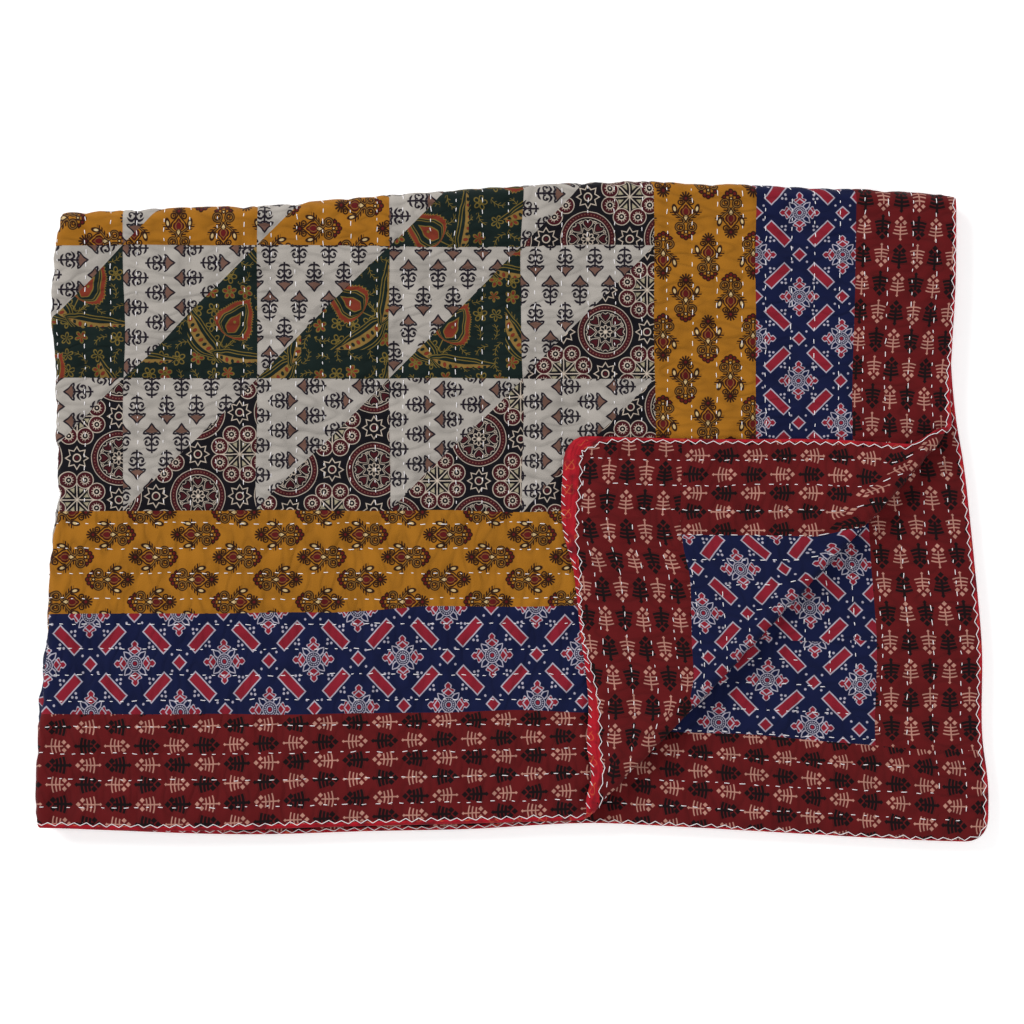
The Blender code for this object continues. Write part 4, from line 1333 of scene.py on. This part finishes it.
EDGE_STEP = 4 * MM
CORNER_ANGLES = (18, 36, 54, 72)
ZIGZAG_PITCH = 12.5 * MM
ZIGZAG_HALF = 1.7 * MM
ZIGZAG_SWINGS = (0.6, 1.25)
ZIGZAG_STRAY = 0.9 * MM
ZIGZAG_OUTERMOST = 5.7 * MM
ZIGZAG_RISES = (0.35 * MM, 0.35 * MM)
ZIGZAG_RADIUS = 0.37 * MM
OVERCAST_FROM = 0.53
OVERCAST_PITCH = 9 * MM
OVERCAST_STRAY = 1.5 * MM
OVERCAST_SLANTS = (2.0 * MM, 5.0 * MM)
OVERCAST_LENGTHS = (2.6 * MM, 4.4 * MM)
OVERCAST_RISES = (0.2 * MM, 0.4 * MM)
BINDING_REPEAT, BINDING_MOTIF_TURN = (24, 14), 35
BINDING_WEAR_SCALE, BINDING_CREASE_SHADE_SCALE = 90, 75
BINDING_WEAR, BINDING_CREASE_SHADE = (6.0, -2.2), (4.5, -2.2)  # a factor of the noise, and a term
BINDING_CREASE_STRETCH, BINDING_CREASE_DEPTH = (0.5, 2.0), 0.8
TUCK = 2.5 * MM  # how far the binding runs on under the cloths, and how deep
TUCK_DEPTH = 0.9 * MM
FULL_PUFF = 8 * MM  # the width of band from which the roll puffs in full
WRINKLE_DEPTH = 0.35 * MM
WRINKLE_ALONG = 7 * MM
WRINKLE_ACROSS = 6 * MM
WRINKLE_SEED = 21
SEWN_SHARES = np.linspace(0, 1, 5)


def towards(degrees):
    return np.array([math.cos(math.radians(degrees)), math.sin(math.radians(degrees))])


def edge_of_cloth(step):
    """Points round the edge, anticlockwise from the lower left corner, and the outward direction at each."""
    points, outward = [], []
    for degrees in (-90, 0, 90, 180):
        half, reach = (HALF_LENGTH, HALF_WIDTH) if degrees % 180 == 0 else (HALF_WIDTH, HALF_LENGTH)
        half -= CORNER_RADIUS
        out, along = towards(degrees), towards(degrees + 90)
        for place in np.linspace(-half, half, math.ceil(2 * half / step) + 1):
            points.append(out * reach + along * place)
            outward.append(out)
        for angle in CORNER_ANGLES:
            outward.append(towards(degrees + angle))
            points.append(out * (reach - CORNER_RADIUS) + along * half + outward[-1] * CORNER_RADIUS)
    return np.array(points), np.array(outward)


def roll_surface(x, y, offset, width, side):
    """Height of the top of the binding, and of the cloth inside it."""
    share = (offset - (ROLL_OUT - width)) / width
    puff = np.interp(share, ROLL_SHARES, ROLL_PUFFS, left=0) * np.minimum(width / FULL_PUFF, 1)
    return half_thickness(x, y, side) + puff


def binding_material():
    """Bright red cotton with fine orange dashes, and creases darkened by painted shade."""
    material, tree, shader = new_material("red_binding", {**COTTON, "Roughness": 0.75})
    fabric = place_in(tree, "print")
    at = fabric.moved_by("MULTIPLY", (1 / MM, 1 / MM, 0))
    local = at.repeated(*BINDING_REPEAT).turned(math.radians(BINDING_MOTIF_TURN))
    marks = abs(local.ellipse(0, 0, 3.2, 5.4)).least(abs(local.y) - 0.2).most(local.to(0, 0) - 6.0) - 0.3
    printed = marks.inside() * noise(tree, fabric, BINDING_WEAR_SCALE, 1.0).clamped(*BINDING_WEAR)
    # painted shade: a darker red laid on the binding along noise-drawn creases
    painted_crease_shade = noise(tree, fabric, BINDING_CREASE_SHADE_SCALE, 2.0).clamped(*BINDING_CREASE_SHADE)
    colour = mixed(tree, printed, shaded(184, 20, 38), shaded(216, 96, 58))
    colour = mixed(tree, painted_crease_shade, colour, shaded(104, 14, 26))
    along_roll = fabric.scaled(*BINDING_CREASE_STRETCH)
    finish_cloth(tree, shader, colour, fabric, along_roll, BINDING_CREASE_DEPTH)
    return material


def roll_section(edge, outward, along, side):
    """Flat points of the binding on one side of the cloth, from its tucked edge to the outer one."""
    width = band_width(edge[:, 0], edge[:, 1], side)[:, None]
    offset = ROLL_OUT - width + width * np.concatenate([ROLL_SHARES[:1], ROLL_SHARES])
    offset[:, 0] -= TUCK
    x = edge[:, None, 0] + outward[:, None, 0] * offset
    y = edge[:, None, 1] + outward[:, None, 1] * offset
    height = roll_surface(x, y, offset, width, side)
    wrinkle = lattice_noise(along[:, None] / WRINKLE_ALONG, offset / WRINKLE_ACROSS, WRINKLE_SEED + side)
    height += WRINKLE_DEPTH * wrinkle * np.minimum(width / FULL_PUFF, 1)
    height[:, 0] -= TUCK_DEPTH
    return np.stack([x, y, side * height], axis=2)


def between(here, ahead):
    """What belongs to the corners of the faces between each section of a tube and the next."""
    return np.stack([here[:, :-1], ahead[:, :-1], ahead[:, 1:], here[:, 1:]], axis=2)


def make_binding():
    edge, outward = edge_of_cloth(EDGE_STEP)
    along = np.cumsum(np.linalg.norm(edge - np.roll(edge, 1, axis=0), axis=1))
    tip = np.column_stack([edge + outward * ROLL_OUT, 0 * along])[:, None]
    face = roll_section(edge, outward, along, 1)
    flat = np.concatenate([roll_section(edge, outward, along, -1), tip, face[:, ::-1]], axis=1)
    after = np.pad(np.linalg.norm(np.diff(flat, axis=1), axis=2).cumsum(axis=1), ((0, 0), (1, 0)))
    here = np.stack(np.broadcast_arrays(along[:, None], after), axis=2)
    ahead = np.roll(here, -1, axis=0)
    ahead[..., 0] = here[..., 0] + EDGE_STEP
    number = np.arange(after.size).reshape(after.shape)
    quads = between(number, np.roll(number, -1, axis=0)).reshape(-1, 4)
    places = between(here, ahead).reshape(-1, 4, 2)
    points = folded(flat.reshape(-1, 3))
    piece = make_mesh("binding_roll", points, [quads], [np.zeros(len(quads))], print=[places])
    piece.data.materials.append(binding_material())
    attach(piece, "root")
    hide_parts("binding")


def sew_over_roll(name, side, x, y, offset, width, rises):
    """Thread over the binding, with its rise at its ends and how much more it rises between them."""
    rise = rises[0] + rises[1] * np.sin(math.pi * SEWN_SHARES)
    sew(name, x, y, side * (roll_surface(x, y, offset, width, side) + rise), ZIGZAG_RADIUS)


def make_zigzag(name, side, seed):
    """A thread that zigzags round the edge, over the inner side of the binding that shows."""
    chance = np.random.default_rng(seed)
    edge, outward = edge_of_cloth(ZIGZAG_PITCH / 2)
    swing = ZIGZAG_HALF * chance.uniform(*ZIGZAG_SWINGS, len(edge))
    swing[1::2] *= -1
    width = band_width(edge[:, 0], edge[:, 1], side)
    centre = np.minimum(ROLL_OUT - width, ZIGZAG_OUTERMOST)
    shift = ZIGZAG_STRAY * chance.uniform(-1, 1, len(edge))
    aside = np.column_stack([-outward[:, 1], outward[:, 0]])
    start = edge + outward * (centre + swing)[:, None] + aside * shift[:, None]
    flat = start[:, None] + (np.roll(start, -1, axis=0) - start)[:, None] * SEWN_SHARES[:, None]
    offset = ((flat - edge[:, None]) * outward[:, None]).sum(axis=2)
    sew_over_roll(name, side, flat[..., 0], flat[..., 1], offset, width[:, None], ZIGZAG_RISES)


def make_overcast(name, side, seed):
    """Short slanting stitches over the outer edge of the binding, along the foot of the right half."""
    chance = np.random.default_rng(seed)
    start_x = np.arange(OVERCAST_FROM, HALF_WIDTH - 2 * CORNER_RADIUS, OVERCAST_PITCH)
    start_x = start_x + OVERCAST_STRAY * chance.uniform(-1, 1, len(start_x))
    slant = chance.uniform(*OVERCAST_SLANTS, len(start_x))
    inner = ROLL_OUT - chance.uniform(*OVERCAST_LENGTHS, len(start_x))
    x = start_x[:, None] + slant[:, None] * SEWN_SHARES
    offset = inner[:, None] + (ROLL_OUT - inner[:, None]) * SEWN_SHARES
    y = -HALF_LENGTH - offset
    width = band_width(x, -HALF_LENGTH + 0 * x, side)
    sew_over_roll(name, side, x, y, offset, width, OVERCAST_RISES)


make_binding()
make_zigzag("zigzag_face", side=1, seed=11)
make_zigzag("zigzag_back", side=-1, seed=12)
make_overcast("overcast_back", side=-1, seed=13)

# ---------------------------------------------------------------- floor, light and camera

PIXEL = 0.98 * MM  # on the quilt
PICTURE = 1024
FLOOR_SIZE = 30.0
FLOOR_GLOW = 0.25
FLOOR_DROP = 0.6 * MM
SKY = 0.32
QUILT_LEVEL = 0.022
LENS, SENSOR = 100.0, 36.0


def make_stage():
    mesh = bpy.data.meshes.new("floor")
    half = FLOOR_SIZE / 2
    corners = [(-half, -half, 0), (half, -half, 0), (half, half, 0), (-half, half, 0)]
    mesh.from_pydata(corners, [], [range(4)])
    looks = {"Roughness": 0.9, "Emission Strength": FLOOR_GLOW, "Emission Color": (1, 1, 1, 1)}
    material, _, _ = new_material("white_floor", {"Base Color": (0.98, 0.98, 0.98, 1), **looks})
    mesh.materials.append(material)
    floor = bpy.data.objects.new("floor", mesh)
    floor.location.z = -FLOOR_DROP
    bpy.context.scene.collection.objects.link(floor)


LIGHTS = (
    # name, place, size, watts
    ("key", (-5.2, 4.6, 3.8), 4.6, 570),
    ("fill", (4.5, -3.5, 5.0), 4.0, 190),
    ("top", (0.0, 0.0, 7.0), 4.0, 110),
)


def make_lights():
    for name, place, size, watts in LIGHTS:
        light = bpy.data.lights.new(name, "AREA")
        light.shape = "DISK"
        light.size = size
        light.energy = watts
        lamp = bpy.data.objects.new(name, light)
        lamp.location = place
        lamp.rotation_mode = "QUATERNION"
        lamp.rotation_quaternion = lamp.location.to_track_quat("Z", "Y")
        bpy.context.scene.collection.objects.link(lamp)
    world = bpy.data.worlds.new("studio")
    world.use_nodes = True
    background = world.node_tree.nodes["Background"]
    background.inputs["Color"].default_value = (1, 1, 1, 1)
    background.inputs["Strength"].default_value = SKY
    bpy.context.scene.world = world
    bpy.context.scene.view_settings.view_transform = "Standard"


def make_camera():
    data = bpy.data.cameras.new("camera")
    data.lens, data.sensor_width = LENS, SENSOR
    camera = bpy.data.objects.new("camera", data)
    camera.location = (-PIXEL / 2, PIXEL / 2, QUILT_LEVEL + PICTURE * PIXEL * LENS / SENSOR)
    bpy.context.scene.collection.objects.link(camera)
    bpy.context.scene.camera = camera


make_stage()
make_lights()
make_camera()
